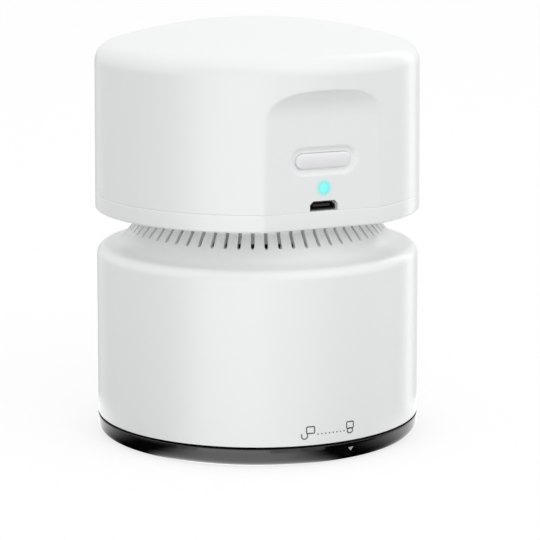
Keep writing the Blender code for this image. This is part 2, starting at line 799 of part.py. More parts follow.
def make_socket_hole():
    """Cutter for the notch that the socket looks out of."""
    outline = socket_outline(GAP)
    low = COVER_FOOT - SOCKET_Z - OVERRUN
    outline[0] = (outline[0][0], low)
    outline[-1] = (outline[-1][0], low)
    middle = -FACET_DISTANCE + COVER_WALL / 2
    return flat_solid(
        "socket_hole", [outline], COVER_WALL + 2 * OVERRUN, facing_front(SOCKET_Z, middle)
    )


def make_upper_base():
    """Band and deck under the top cover, with the lip, the posts and the bosses."""
    profile = filleted([
        (0.0, BAND_TOP, 0.0),
        (BAND_RADIUS, BAND_TOP, 0.0),
        (BAND_RADIUS, BAND_FOOT, BAND_FILLET),
        (0.0, BAND_FOOT, 0.0),
    ])
    base = turned("upper_base", profile, "white_abs", HOUSING_STEPS)
    cut(base, facet_tool("band_facet_cut"))

    below = turned("deck_hollow_below", [
        (0.0, DECK_FOOT), (BAND_RADIUS - BAND_RIM_WALL, DECK_FOOT),
        (BAND_RADIUS - BAND_RIM_WALL, BAND_FOOT - OVERRUN), (0.0, BAND_FOOT - OVERRUN),
    ], steps=HOUSING_STEPS)
    cut(below, facet_tool("below_facet_cut", BAND_RIM_WALL))
    inner = LIP_RADIUS - LIP_WALL
    above = turned("deck_hollow_above", [
        (0.0, BAND_TOP + OVERRUN), (inner - GAP, BAND_TOP + OVERRUN),
        (inner - GAP, DECK_TOP), (0.0, DECK_TOP),
    ], steps=HOUSING_STEPS)
    cut(above, facet_tool("above_facet_cut", BAND_RIM_WALL))
    cut(base, below, above)

    lip = turned("cover_lip", ring_profile(inner, LIP_RADIUS, BAND_TOP - EMBED, LIP_TOP),
                 steps=HOUSING_STEPS)
    bead_foot = COVER_FOOT + BEAD_RISE
    bead = arc_block(
        "lip_bead", LIP_RADIUS - LIP_WALL / 2, LIP_RADIUS + BEAD_DEPTH, bead_foot,
        bead_foot + BEAD_HEIGHT - GAP, -BEAD_ANGLE / 2, BEAD_ANGLE, steps=1,
    )
    add(lip, pattern("lip_beads", bead, BEAD_COUNT, BEAD_FIRST_TURN))
    room = FACET_DISTANCE - COVER_WALL - GAP
    clear = BAND_RADIUS - room + OVERRUN
    cut(lip, box(
        "lip_front_cut", (FACET_HALF_WIDTH * 2, clear, LIP_TOP),
        (0, -room - clear / 2, LIP_TOP),
    ))
    add(base, lip)

    post_foot = DECK_TOP - EMBED
    post_middle = BOARD_BACK + GAP + BOARD_POST_DEPTH / 2
    post = box(
        "board_post", (BOARD_POST_WIDTH, BOARD_POST_DEPTH, BOARD_TOP - post_foot),
        (BOARD_POST_ASIDE, post_middle, (BOARD_TOP + post_foot) / 2),
    )
    boss = rod(
        "cradle_boss", CRADLE_BOSS_RADIUS, CRADLE_BOSS_TOP - post_foot,
        (CRADLE_BOSS_ASIDE, 0, (CRADLE_BOSS_TOP + post_foot) / 2),
    )
    post_hole = rod(
        "board_post_hole", SMALL_SCREW_RADIUS + GAP, BOARD_POST_DEPTH + 2 * OVERRUN,
        (BOARD_POST_ASIDE, post_middle, BOARD_SCREW_Z), axis=1, steps=HOLE_STEPS,
    )
    boss_hole = rod(
        "cradle_boss_hole", SMALL_SCREW_RADIUS + GAP, CRADLE_BOSS_HEIGHT + OVERRUN,
        (CRADLE_BOSS_ASIDE, 0, DECK_TOP + (CRADLE_BOSS_HEIGHT + OVERRUN) / 2),
        steps=HOLE_STEPS,
    )
    mount_hole = rod(
        "mount_hole", MOUNT_RADIUS + GAP, DECK_THICKNESS + 2 * OVERRUN,
        (0, 0, (DECK_FOOT + DECK_TOP) / 2), steps=DISC_STEPS,
    )
    add(base, mirrored("deck_posts", post, boss))
    cut(base, mount_hole)
    cut(base, mirrored("deck_post_holes", post_hole, boss_hole))
    cut(base, post_screw_holes("deck_screw_hole", DECK_FOOT, DECK_TOP))
    return smooth(base)


def post_screw_holes(name, foot, top):
    """Cutter for the three holes on the circle of the shroud's posts."""
    length = top - foot + 2 * OVERRUN
    one = rod(
        f"{name}_one", POST_SCREW_RADIUS + GAP, length,
        around(0.0, POST_CIRCLE, (top + foot) / 2), steps=HOLE_STEPS,
    )
    return pattern(name, one, POST_COUNT, POST_FIRST_AZIMUTH)


def make_body_shell():
    """Body wall, shoulder and slotted neck, with the bayonet's ledges inside."""
    outer = filleted([
        (NECK_RADIUS, NECK_TOP, 0.0),
        (NECK_RADIUS, NECK_FOOT, 0.0),
        (WAIST_CORNER_RADIUS, WAIST_CORNER, WAIST_FILLET),
        (BODY_RADIUS, BODY_EDGE, BODY_EDGE_FILLET),
        (BODY_FOOT_RADIUS, BODY_FOOT, 0.0),
    ])
    slope = math.atan2(NECK_FOOT - WAIST_CORNER, WAIST_CORNER_RADIUS - NECK_RADIUS)
    shift = BODY_WALL * math.tan(slope / 2)
    inner = [
        (BODY_FOOT_RADIUS - BODY_WALL, BODY_FOOT),
        (BODY_INNER, SHROUD_STEP),
        (BODY_INNER - SHROUD_STEP_WIDTH, SHROUD_STEP),
        (WAIST_CORNER_RADIUS - shift, WAIST_CORNER - BODY_WALL),
        (NECK_INNER, NECK_FOOT - BODY_WALL / 2),
        (NECK_INNER, NECK_TOP),
    ]
    shell = turned("body_shell", outer + inner, "white_abs", SLOT_COUNT)

    height = SLOT_HEAD - SLOT_FOOT
    one = rounded_slot(height)
    slots = pattern("vent_slots", one, SLOT_COUNT, math.tau / SLOT_COUNT * SLOT_FIRST_SHARE)
    cut(shell, slots)

    wall = BODY_INNER + BODY_WALL / 2
    ledge = arc_block(
        "ledge", COLLAR_RADIUS + GAP, wall, LEDGE_FOOT, LEDGE_TOP,
        -LEDGE_ANGLE / 2, LEDGE_ANGLE + STOP_ANGLE,
    )
    stop = arc_block(
        "stop", COLLAR_RADIUS + GAP, wall, LEDGE_TOP - EMBED, LUG_TOP,
        LEDGE_ANGLE / 2, STOP_ANGLE, steps=1,
    )
    add(
        shell,
        pattern("ledges", ledge, LUG_COUNT, LUG_FIRST_TURN),
        pattern("stops", stop, LUG_COUNT, LUG_FIRST_TURN),
    )
    return smooth(shell)


def rounded_slot(height):
    """One slot cutter with a rounded foot, standing in the neck's wall at the front."""
    length = SLOT_REACH + BODY_WALL
    middle = NECK_RADIUS + SLOT_REACH / 2 - BODY_WALL

    def build(work):
        bmesh.ops.create_cube(work, size=1)
        bmesh.ops.scale(work, vec=(SLOT_WIDTH, length, height), verts=work.verts)
        foot = [
            edge for edge in work.edges
            if all(vert.co.z < 0 for vert in edge.verts)
            and abs(edge.verts[0].co.x - edge.verts[1].co.x) < SLOT_WIDTH / 2
        ]
        bmesh.ops.bevel(
            work, geom=foot, offset=SLOT_WIDTH * SLOT_ROUND_SHARE,
            segments=SLOT_ROUND_STEPS, profile=0.5, affect="EDGES",
        )

    one = place("vent_slot", mesh_from("vent_slot", build))
    one.location = (0, -middle, SLOT_FOOT + height / 2)
    return one


def make_base_ring():
    """Black ring with its foot, the recessed plate, the collar and the lugs."""
    rounding = []
    for step in range(RING_ROUND_STEPS + 1):
        angle = math.pi / 2 * step / RING_ROUND_STEPS
        rounding.append((
            FOOT_RADIUS + (RING_RADIUS - FOOT_RADIUS) * math.cos(angle),
            RING_ROUND_HEIGHT * (1 - math.sin(angle)),
        ))
    recess = FOOT_RADIUS - FOOT_WIDTH
    duct_hole = DUCT_BORE + DUCT_WALL + GAP
    profile = [
        (COLLAR_RADIUS, LUG_TOP), (COLLAR_RADIUS, RING_HEIGHT), (RING_RADIUS, RING_HEIGHT),
        *rounding,
        (recess, 0.0), (recess, RECESS_DEPTH), (duct_hole, RECESS_DEPTH),
        (duct_hole, PLATE_TOP), (COLLAR_INNER, PLATE_TOP), (COLLAR_INNER, LUG_TOP),
    ]
    ring = turned("base_ring", profile, "black_abs", HOUSING_STEPS)
    lug = arc_block(
        "lug", COLLAR_RADIUS - COLLAR_WALL / 2, BODY_INNER - GAP, LUG_FOOT, LUG_TOP - GAP,
        -LUG_ANGLE / 2, LUG_ANGLE,
    )
    add(ring, pattern("lugs", lug, LUG_COUNT, LUG_FIRST_TURN))
    spare = GAP / BRUSH_RADIUS
    pocket = arc_block(
        "brush_pocket", BRUSH_RADIUS - BRUSH_WIDTH / 2 - GAP, BRUSH_RADIUS + BRUSH_WIDTH / 2 + GAP,
        RECESS_DEPTH - OVERRUN, RECESS_DEPTH + BRUSH_POCKET_DEPTH,
        brush_start(0) - spare, BRUSH_ANGLE + 2 * spare, steps=BRUSH_STEPS,
    )
    cut(ring, pattern("brush_pockets", pocket, BRUSH_COUNT))
    return smooth(ring)


def brush_start(index):
    """Turn from +X at which a brush strip starts."""
    return BRUSH_FIRST_TURN + math.tau * index / BRUSH_COUNT - BRUSH_ANGLE / 2


def make_brush_strip(index):
    """A curved backing with rows of tapered strands down to just above the floor."""
    name = f"brush_strip_{index + 1}"
    top = RECESS_DEPTH + BRUSH_POCKET_DEPTH - GAP
    foot = top - BRUSH_BACK_THICKNESS
    start = brush_start(index)
    strip = arc_block(
        name, BRUSH_RADIUS - BRUSH_WIDTH / 2, BRUSH_RADIUS + BRUSH_WIDTH / 2,
        foot, top, start, BRUSH_ANGLE, steps=BRUSH_STEPS, finish="bristle_nylon",
    )

    def build(work):
        length = foot + EMBED - BRUSH_FLOOR_GAP
        for row in range(BRUSH_ROW_COUNT):
            across = BRUSH_WIDTH * ((row + 0.5) / BRUSH_ROW_COUNT - 0.5)
            for column in range(BRUSH_COLUMN_COUNT):
                along = start + BRUSH_ANGLE * (column + 0.5) / BRUSH_COLUMN_COUNT
                radius = BRUSH_RADIUS + across
                turn = Matrix.Rotation(along, 4, "Z")
                lean = math.atan2(BRUSH_SPLAY * (row - (BRUSH_ROW_COUNT - 1) / 2), length)
                root = Matrix.Translation((radius, 0, foot + EMBED))
                tilt = Matrix.Rotation(-lean, 4, "Y")
                drop = Matrix.Translation((0, 0, -length / 2))
                bmesh.ops.create_cone(
                    work, cap_ends=True, segments=STRAND_SIDE_COUNT, radius1=STRAND_TIP_RADIUS,
                    radius2=STRAND_RADIUS, depth=length, matrix=turn @ root @ tilt @ drop,
                )

    add(strip, place(f"strands_{index + 1}", mesh_from(f"strands_{index + 1}", build)))
    return strip


def make_intake_duct():
    """Tube through the plate with a flange, and a cap on legs over its mouth."""
    outer = DUCT_BORE + DUCT_WALL
    flange = outer + DUCT_FLANGE_WIDTH
    flange_foot = PLATE_TOP + GAP
    duct = turned("intake_duct", [
        (outer, DUCT_TOP), (outer, flange_foot + DUCT_FLANGE_HEIGHT),
        (flange, flange_foot + DUCT_FLANGE_HEIGHT), (flange, flange_foot),
        (outer, flange_foot), (outer, RECESS_DEPTH), (DUCT_BORE, RECESS_DEPTH),
        (DUCT_BORE, DUCT_TOP - DUCT_WALL), (DUCT_BORE + DUCT_WALL / 2, DUCT_TOP),
    ], "grey_plastic")
    rim = outer + DUCT_CAP_OVERHANG
    cap_foot = DUCT_TOP + DUCT_CAP_GAP
    cap = turned("duct_cap", [
        (0.0, cap_foot + DUCT_CAP_HEIGHT + DUCT_CAP_WALL),
        (rim, cap_foot + DUCT_CAP_WALL), (rim, cap_foot), (0.0, cap_foot + DUCT_CAP_HEIGHT),
    ])
    leg_foot = DUCT_TOP - DUCT_CAP_GAP
    leg_top = cap_foot + DUCT_CAP_WALL
    leg = box(
        "duct_leg", (DUCT_LEG_WIDTH, DUCT_WALL, leg_top - leg_foot),
        (0, -outer, (leg_top + leg_foot) / 2),
    )
    add(duct, cap, pattern("duct_legs", leg, DUCT_LEG_COUNT))
    return smooth(duct)


def make_base_seal():
    """Flat rubber ring that lies on the base ring's step, under the ledges."""
    seal = turned("base_seal", ring_profile(
        COLLAR_RADIUS + GAP, BODY_INNER - GAP, RING_HEIGHT + GAP, LEDGE_FOOT - GAP,
    ), "rubber", DISC_STEPS)
    return smooth(seal)


def shroud_top(radius):
    """Height of the shroud's upper face at a radius, dished toward the eye."""
    share = max(0.0, min(1.0, (SHROUD_BOWL_RADIUS - radius) / (SHROUD_BOWL_RADIUS - EYE_RADIUS)))
    return SHROUD_RIM_TOP - SHROUD_BOWL_DEPTH * math.sin(share * math.pi / 2)


def bowl_radii():
    """Radii from the bowl's rim in to the eye."""
    return [
        SHROUD_BOWL_RADIUS + (EYE_RADIUS - SHROUD_BOWL_RADIUS) * step / SHROUD_BOWL_STEPS
        for step in range(SHROUD_BOWL_STEPS + 1)
    ]


def make_fan_shroud():
    """Dished disc with the fan's eye, the filter collar below and three posts above."""
    rim = BODY_INNER - GAP
    bowl = [(radius, shroud_top(radius)) for radius in bowl_radii()]
    collar_inner = FILTER_COLLAR_RADIUS - FILTER_COLLAR_WALL
    collar_foot = FILTER_SEAT - FILTER_COLLAR_DROP
    collar_root = shroud_top(FILTER_COLLAR_RADIUS) - SHROUD_THICKNESS
    under = [
        (EYE_RADIUS, EYE_FOOT), (EYE_RADIUS + EYE_LIP, EYE_FOOT),
        (EYE_RADIUS + 2 * EYE_LIP, FILTER_SEAT), (collar_inner, FILTER_SEAT),
        (collar_inner, collar_foot), (FILTER_COLLAR_RADIUS, collar_foot),
        (FILTER_COLLAR_RADIUS, collar_root), (SHROUD_BOWL_RADIUS, SHROUD_RIM_FOOT),
        (rim, SHROUD_RIM_FOOT),
    ]
    profile = [(rim, SHROUD_RIM_TOP)] + under[::-1] + bowl[::-1]
    shroud = turned("fan_shroud", profile, "grey_plastic", DISC_STEPS)
    post_foot = shroud_top(POST_CIRCLE + POST_RADIUS) - EMBED - POST_RADIUS / 2
    post_top = NECK_TOP
    post = rod(
        "shroud_post", POST_RADIUS, post_top - post_foot,
        around(0.0, POST_CIRCLE, (post_top + post_foot) / 2), steps=SMALL_STEPS,
    )
    add(shroud, pattern("shroud_posts", post, POST_COUNT, POST_FIRST_AZIMUTH))
    hole_foot = MOUNT_FLANGE_TOP - POST_SCREW_LENGTH - GAP
    cut(shroud, post_screw_holes("post_hole", hole_foot + OVERRUN, post_top))
    return smooth(shroud)


def make_motor_mount():
    """Cup that holds the motor, hung through the deck by a flange."""
    flange = MOUNT_RADIUS + MOUNT_FLANGE_WIDTH
    throat = DECK_TOP - MOUNT_THROAT_DROP
    cup_top = MOUNT_FLOOR + MOUNT_WALL + MOUNT_CUP_DEPTH
    trough = MOUNT_FLOOR + 2 * MOUNT_WALL
    bore = MOTOR_BOSS_RADIUS + GAP
    profile = [
        (CUP_OUTER, cup_top), (CUP_OUTER, trough), (MOUNT_RADIUS - MOUNT_WALL, throat),
        (MOUNT_RADIUS - MOUNT_WALL, MOUNT_FLANGE_TOP), (flange, MOUNT_FLANGE_TOP),
        (flange, MOUNT_FLANGE_FOOT), (MOUNT_RADIUS, MOUNT_FLANGE_FOOT), (MOUNT_RADIUS, throat),
        (CUP_OUTER, MOUNT_FLOOR + MOUNT_CONE_FOOT), (CUP_INNER, MOUNT_FLOOR),
        (bore, MOUNT_FLOOR), (bore, MOUNT_FLOOR + MOUNT_WALL),
        (CUP_INNER, MOUNT_FLOOR + MOUNT_WALL), (CUP_INNER, cup_top),
    ]
    mount = turned("motor_mount", profile, "grey_plastic")
    cut(mount, post_screw_holes("flange_hole", MOUNT_FLANGE_FOOT, MOUNT_FLANGE_TOP))
    return smooth(mount)


def make_motor():
    """Motor can with its boss, the end cap with its terminals, and the shaft."""
    boss_foot = MOTOR_FOOT - MOTOR_BOSS_HEIGHT
    bore = SHAFT_RADIUS + GAP
    bore_top = MOTOR_FOOT + SHAFT_SOCKET_DEPTH
    can = turned("motor_can", [
        (0.0, MOTOR_TOP),
        *filleted([
            (0.0, MOTOR_TOP, 0.0), (MOTOR_RADIUS, MOTOR_TOP, MOTOR_EDGE / 2),
            (MOTOR_RADIUS, MOTOR_FOOT, MOTOR_EDGE), (MOTOR_BOSS_RADIUS, MOTOR_FOOT, 0.0),
        ])[1:],
        (MOTOR_BOSS_RADIUS, boss_foot), (bore, boss_foot), (bore, bore_top), (0.0, bore_top),
    ], "motor_steel")
    smooth(can)
    cap_radius = MOTOR_RADIUS - END_CAP_INSET
    cap = rod(
        "motor_end_cap", cap_radius, END_CAP_THICKNESS,
        (0, 0, (END_CAP_FOOT + END_CAP_TOP) / 2), finish="end_cap_nylon", steps=INNER_STEPS,
    )
    foot = END_CAP_TOP - EMBED
    top = END_CAP_TOP + TERMINAL_HEIGHT
    terminal = box(
        "terminal", (TERMINAL_THICKNESS, TERMINAL_WIDTH, top - foot),
        (TERMINAL_ASIDE, 0, (top + foot) / 2),
    )
    add(cap, mirrored("terminals", terminal))
    smooth(cap)
    shaft_top = bore_top - GAP
    shaft_foot = EYE_TOP + SHAFT_RADIUS
    shaft = rod(
        "motor_shaft", SHAFT_RADIUS, shaft_top - shaft_foot,
        (0, 0, (shaft_top + shaft_foot) / 2), finish="shaft_steel",
    )
    return smooth(shaft)


def blade_outline():
    """Plan of one backward-curved blade, from the hub to the rim."""
    outer = IMPELLER_RADIUS - EMBED
    sides = ([], [])
    for step in range(BLADE_STEPS + 1):
        share = step / BLADE_STEPS
        radius = BLADE_ROOT_RADIUS + (outer - BLADE_ROOT_RADIUS) * share
        angle = BLADE_SWEEP * share * (1 + BLADE_CURL_SHARE * (1 - share))
        half = BLADE_THICKNESS / 2
        along = Vector((math.cos(angle), math.sin(angle)))
        across = Vector((-along.y, along.x))
        centre = along * radius
        sides[0].append(centre + across * half)
        sides[1].append(centre - across * half)
    return [(point.x, point.y) for point in sides[0] + sides[1][::-1]]


def make_impeller():
    """Back plate, hub and curved blades cut to the dish of the shroud."""
    hub_bore = SHAFT_RADIUS + GAP
    hub_foot = EYE_TOP + IMPELLER_GAP
    wheel = turned("impeller", [
        (IMPELLER_RADIUS, IMPELLER_TOP), (IMPELLER_RADIUS, BLADE_TOP),
        (IMPELLER_HUB_RADIUS, BLADE_TOP), (IMPELLER_HUB_RADIUS, hub_foot),
        (hub_bore, hub_foot), (hub_bore, IMPELLER_TOP),
    ], "grey_plastic")
    height = BLADE_TOP + EMBED - EYE_TOP
    middle = (BLADE_TOP + EMBED + EYE_TOP) / 2
    one = flat_solid("blade", [blade_outline()], height, Matrix.Translation((0, 0, middle)))
    blades = pattern("blades", one, BLADE_COUNT)
    radii = bowl_radii()
    floor = [(radius, shroud_top(radius) + IMPELLER_GAP) for radius in radii]
    below = EYE_TOP - OVERRUN
    dish = turned("blade_dish", [
        (0.0, floor[-1][1]), *floor[::-1], (floor[0][0], below), (0.0, below),
    ])
    cut(blades, dish)
    add(wheel, blades)
    return smooth(wheel)


def make_filter():
    """Gasket, windowed cup and the pleated paper inside it."""
    ring_inner = FILTER_RING_RADIUS - GASKET_WIDTH
    gasket = turned("filter_gasket", ring_profile(
        ring_inner, FILTER_RING_RADIUS, GASKET_TOP - GASKET_THICKNESS, GASKET_TOP,
    ), "rubber")
    smooth(gasket)
    bore = FILTER_CUP_RADIUS - FILTER_CUP_WALL
    frame = turned("filter_frame", [
        (0.0, FILTER_FLOOR + FILTER_CUP_WALL), (bore, FILTER_FLOOR + FILTER_CUP_WALL),
        (bore, FILTER_TOP), (FILTER_RING_RADIUS, FILTER_TOP),
        (FILTER_RING_RADIUS, FILTER_TOP - FILTER_RING_HEIGHT),
        (FILTER_CUP_RADIUS, FILTER_TOP - FILTER_RING_HEIGHT),
        (FILTER_CUP_RADIUS, FILTER_FLOOR), (0.0, FILTER_FLOOR),
    ], "black_abs")
    window_foot = FILTER_FLOOR + FILTER_CUP_WALL + FILTER_WINDOW_SILL
    window = box(
        "filter_window", (FILTER_WINDOW_WIDTH, 4 * FILTER_CUP_WALL, FILTER_WINDOW_HEIGHT),
        (0, -FILTER_CUP_RADIUS, window_foot + FILTER_WINDOW_HEIGHT / 2),
    )
    cut(frame, pattern("filter_windows", window, FILTER_WINDOW_COUNT))
    smooth(frame)

    outer = bore - GAP
    inner = outer - PLEAT_THICKNESS
    points = 2 * PLEAT_COUNT
    outlines = []
    for reach in (outer, inner):
        outlines.append([
            ((reach - PLEAT_DEPTH * (index % 2)) * math.cos(math.tau * index / points),
             (reach - PLEAT_DEPTH * (index % 2)) * math.sin(math.tau * index / points))
            for index in range(points)
        ])
    foot = FILTER_FLOOR + FILTER_CUP_WALL + GAP
    height = FILTER_TOP - GAP - foot
    flat_solid(
        "filter_media", outlines, height, Matrix.Translation((0, 0, foot + height / 2)),
        "filter_paper",
    )


def make_button(slide):
    """Button cap with its flange, and the switch plunger behind it."""
    front = -FACET_DISTANCE - BUTTON_PROUD
    flange_front = FACET_BACK + GAP
    cap_back = flange_front + EMBED
    cap = rounded_box(
        "power_button", (BUTTON_WIDTH, cap_back - front, BUTTON_HEIGHT),
        (0, (front + cap_back) / 2, BUTTON_Z), 1, BUTTON_HEIGHT * STADIUM_ROUND_SHARE,
        "button_abs",
    )
    bevel(cap, BUTTON_EDGE, FILLET_STEPS)
    height = BUTTON_HEIGHT + 2 * BUTTON_FLANGE_MARGIN
    flange = rounded_box(
        "button_flange",
        (BUTTON_WIDTH + 2 * BUTTON_FLANGE_MARGIN, BUTTON_FLANGE_THICKNESS, height),
        (0, flange_front + BUTTON_FLANGE_THICKNESS / 2, BUTTON_Z),
        1, height * STADIUM_ROUND_SHARE,
    )
    add(cap, flange)
    smooth(cap)
    plunger_front = flange_front + BUTTON_FLANGE_THICKNESS + GAP
    plunger_back = SWITCH_FRONT + PLUNGER_POCKET_DEPTH - BUTTON_TRAVEL - GAP
    plunger = rod(
        "switch_plunger", PLUNGER_RADIUS, plunger_back - plunger_front,
        (0, (plunger_front + plunger_back) / 2, BUTTON_Z), axis=1, finish="chip_epoxy",
    )
    smooth(plunger)
    ride(slide, cap, plunger)


def make_board():
    """Circuit board with the switch, the chip, the lamp and the socket."""
    board = rounded_box(
        "circuit_board", (BOARD_WIDTH, BOARD_THICKNESS, BOARD_HEIGHT),
        (0, (BOARD_FRONT + BOARD_BACK) / 2, (BOARD_FOOT + BOARD_TOP) / 2),
        1, BOARD_CORNER, "board_laminate", steps=2,
    )
    hole = rod(
        "board_hole", SMALL_SCREW_RADIUS + GAP, BOARD_THICKNESS + 2 * OVERRUN,
        (BOARD_POST_ASIDE, (BOARD_FRONT + BOARD_BACK) / 2, BOARD_SCREW_Z),
        axis=1, steps=HOLE_STEPS,
    )
    cut(board, mirrored("board_holes", hole))
    switch = box(
        "switch_body", (SWITCH_SIZE, SWITCH_DEPTH, SWITCH_SIZE),
        (0, SWITCH_FRONT + SWITCH_DEPTH / 2, BUTTON_Z), "motor_steel",
    )
    pocket = PLUNGER_POCKET_DEPTH + OVERRUN
    cut(switch, rod(
        "plunger_pocket", PLUNGER_RADIUS + GAP, pocket,
        (0, SWITCH_FRONT + PLUNGER_POCKET_DEPTH - pocket / 2, BUTTON_Z), axis=1,
    ))
    box(
        "charge_chip", (CHIP_WIDTH, CHIP_DEPTH, CHIP_HEIGHT),
        (CHIP_ASIDE, BOARD_FRONT - GAP - CHIP_DEPTH / 2, BOARD_FOOT + CHIP_RISE), "chip_epoxy",
    )
    lamp_front = BOARD_FRONT - GAP - LAMP_DEPTH
    box(
        "lamp", (LAMP_WIDTH, LAMP_DEPTH, LAMP_HEIGHT),
        (0, lamp_front + LAMP_DEPTH / 2, LAMP_Z), "lamp_lens",
    )
    pipe_back = lamp_front - GAP
    pipe = rod(
        "light_pipe", PIPE_RADIUS, pipe_back + FACET_DISTANCE,
        (0, (pipe_back - FACET_DISTANCE) / 2, LAMP_Z), axis=1, finish="lamp_lens",
    )
    flange_front = FACET_BACK + GAP
    add(pipe, rod(
        "pipe_flange", PIPE_FLANGE_RADIUS, PIPE_FLANGE_THICKNESS,
        (0, flange_front + PIPE_FLANGE_THICKNESS / 2, LAMP_Z), axis=1,
    ))
    smooth(pipe)
    make_socket()


def make_socket():
    """Metal shell of the charging socket and the tongue in its mouth."""
    back = BOARD_FRONT - GAP
    length = back - SOCKET_FRONT
    shell = flat_solid(
        "charging_socket", [socket_outline(0.0)], length,
        facing_front(SOCKET_Z, (back + SOCKET_FRONT) / 2), "socket_tin",
    )
    depth = SOCKET_CAVITY_DEPTH + OVERRUN
    cut(shell, flat_solid(
        "socket_mouth", [socket_outline(-SOCKET_SHELL_WALL)], depth,
        facing_front(SOCKET_Z, SOCKET_FRONT + SOCKET_CAVITY_DEPTH - depth / 2),
    ))
    tongue_front = SOCKET_FRONT + TONGUE_SETBACK
    tongue_back = SOCKET_FRONT + SOCKET_CAVITY_DEPTH - GAP
    box(
        "socket_tongue", (TONGUE_WIDTH, tongue_back - tongue_front, TONGUE_THICKNESS),
        (0, (tongue_front + tongue_back) / 2, SOCKET_Z), "chip_epoxy",
    )


def make_cradle():
    """Bridge over the motor that carries the cell, its feet on the deck's bosses."""
    top = CELL_CENTRE
    foot = CRADLE_BOSS_TOP + GAP
    cradle = box(
        "battery_cradle", (2 * CRADLE_OUTER, CRADLE_WIDTH, top - CRADLE_FOOT),
        (0, 0, (top + CRADLE_FOOT) / 2), "grey_plastic",
    )
    plate_top = CELL_CENTRE + CELL_RADIUS * CRADLE_WALL_SHARE
    reach = CRADLE_FOOT_LENGTH + EMBED
    leg = box(
        "cradle_leg", (CRADLE_WALL, CRADLE_WIDTH - EMBED, plate_top - foot),
        (CRADLE_INNER + CRADLE_WALL / 2 + EMBED / 2, 0, (plate_top + foot) / 2),
    )
    pad = box(
        "cradle_foot", (reach, 2 * CRADLE_BOSS_RADIUS, CRADLE_WALL),
        (CRADLE_OUTER + CRADLE_FOOT_LENGTH / 2 - EMBED / 2, 0, foot + CRADLE_WALL / 2),
    )
    hole = rod(
        "cradle_foot_hole", SMALL_SCREW_RADIUS + GAP, CRADLE_WALL + 2 * OVERRUN,
        (CRADLE_BOSS_ASIDE, 0, foot + CRADLE_WALL / 2), steps=HOLE_STEPS,
    )
    add(cradle, mirrored("cradle_legs", leg), mirrored("cradle_feet", pad))
    cut(cradle, mirrored("cradle_foot_holes", hole))
    cut(cradle, rod(
        "cell_bed", CELL_RADIUS + GAP, CELL_LENGTH + 2 * GAP, (0, 0, CELL_CENTRE), axis=0,
        steps=INNER_STEPS,
    ))
    cell = rod(
        "battery_cell", CELL_RADIUS, CELL_LENGTH, (0, 0, CELL_CENTRE), axis=0,
        finish="cell_sleeve", steps=INNER_STEPS,
    )
    bevel(cell, CELL_EDGE, 1)
    smooth(cell)
    ceiling = CEILING_HUB + math.sqrt(CEILING_RADIUS ** 2 - (PAD_LENGTH / 2) ** 2)
    pad_foot = CELL_CENTRE + CELL_RADIUS + GAP
    pad_top = ceiling - PAD_CEILING_GAP
    box(
        "battery_pad", (PAD_LENGTH, PAD_WIDTH, pad_top - pad_foot),
        (0, 0, (pad_top + pad_foot) / 2), "foam",
    )


def make_screw(name, radius, length, seat, direction):
    """A pan-head screw whose head rests on a seat point and whose shank runs inward."""
    head = radius * SCREW_HEAD_SHARE
    top = GAP + SCREW_HEAD_HEIGHT
    screw = turned(name, [
        (0.0, top), (head - GAP, top), (head, GAP), (radius, GAP), (radius, -length), (0.0, -length),
    ], "screw_steel", HOLE_STEPS)
    stand = Vector((0, 0, 1)).rotation_difference(-Vector(direction)).to_matrix().to_4x4()
    screw.matrix_world = Matrix.Translation(seat) @ stand
    return smooth(screw)


def make_screws():
    """Screws that hold the posts, the board and the cradle."""
    down = (0, 0, -1)
    for index in range(POST_COUNT):
        azimuth = POST_FIRST_AZIMUTH + math.tau * index / POST_COUNT
        make_screw(
            f"post_screw_{index + 1}", POST_SCREW_RADIUS, POST_SCREW_LENGTH,
            around(azimuth, POST_CIRCLE, MOUNT_FLANGE_TOP), down,
        )
    for index, side in enumerate((-1, 1)):
        make_screw(
            f"board_screw_{index + 1}", SMALL_SCREW_RADIUS, SMALL_SCREW_LENGTH,
            (side * BOARD_POST_ASIDE, BOARD_FRONT, BOARD_SCREW_Z), (0, 1, 0),
        )
        make_screw(
            f"cradle_screw_{index + 1}", SMALL_SCREW_RADIUS, SMALL_SCREW_LENGTH,
            (side * CRADLE_BOSS_ASIDE, 0, CRADLE_BOSS_TOP + GAP + CRADLE_WALL), down,
        )


def smooth_route(points, steps):
    """Points of a smooth curve through a route's own points."""
    route = [points[0] * 2 - points[1], *points, points[-1] * 2 - points[-2]]
    smoothed = []
    for index in range(1, len(route) - 2):
        before, start, end, after = route[index - 1:index + 3]
        length = (end - start).length
        leaving = (end - before).normalized() * length
        arriving = (after - start).normalized() * length
        for step in range(steps):
            share = step / steps
            ease = share ** 2 * (3 - 2 * share)
            point = start.lerp(end, ease)
            point += leaving * share * (1 - share) ** 2
            point -= arriving * share ** 2 * (1 - share)
            smoothed.append(point)
    return [*smoothed, points[-1]]


def make_lead(name, route, finish):
    """An insulated lead along a route."""
    curve = bpy.data.curves.new(name, "CURVE")
    curve.dimensions = "3D"
    curve.bevel_depth = LEAD_RADIUS
    curve.bevel_resolution = LEAD_BEVEL_STEPS
    curve.use_fill_caps = True
    spline = curve.splines.new("POLY")
    points = smooth_route(route, LEAD_STEPS)
    spline.points.add(len(points) - 1)
    for point, place_at in zip(spline.points, points):
        point.co = (*place_at, 1)
    return smooth(mesh_of_curve(name, curve, Matrix.Identity(4), finish))


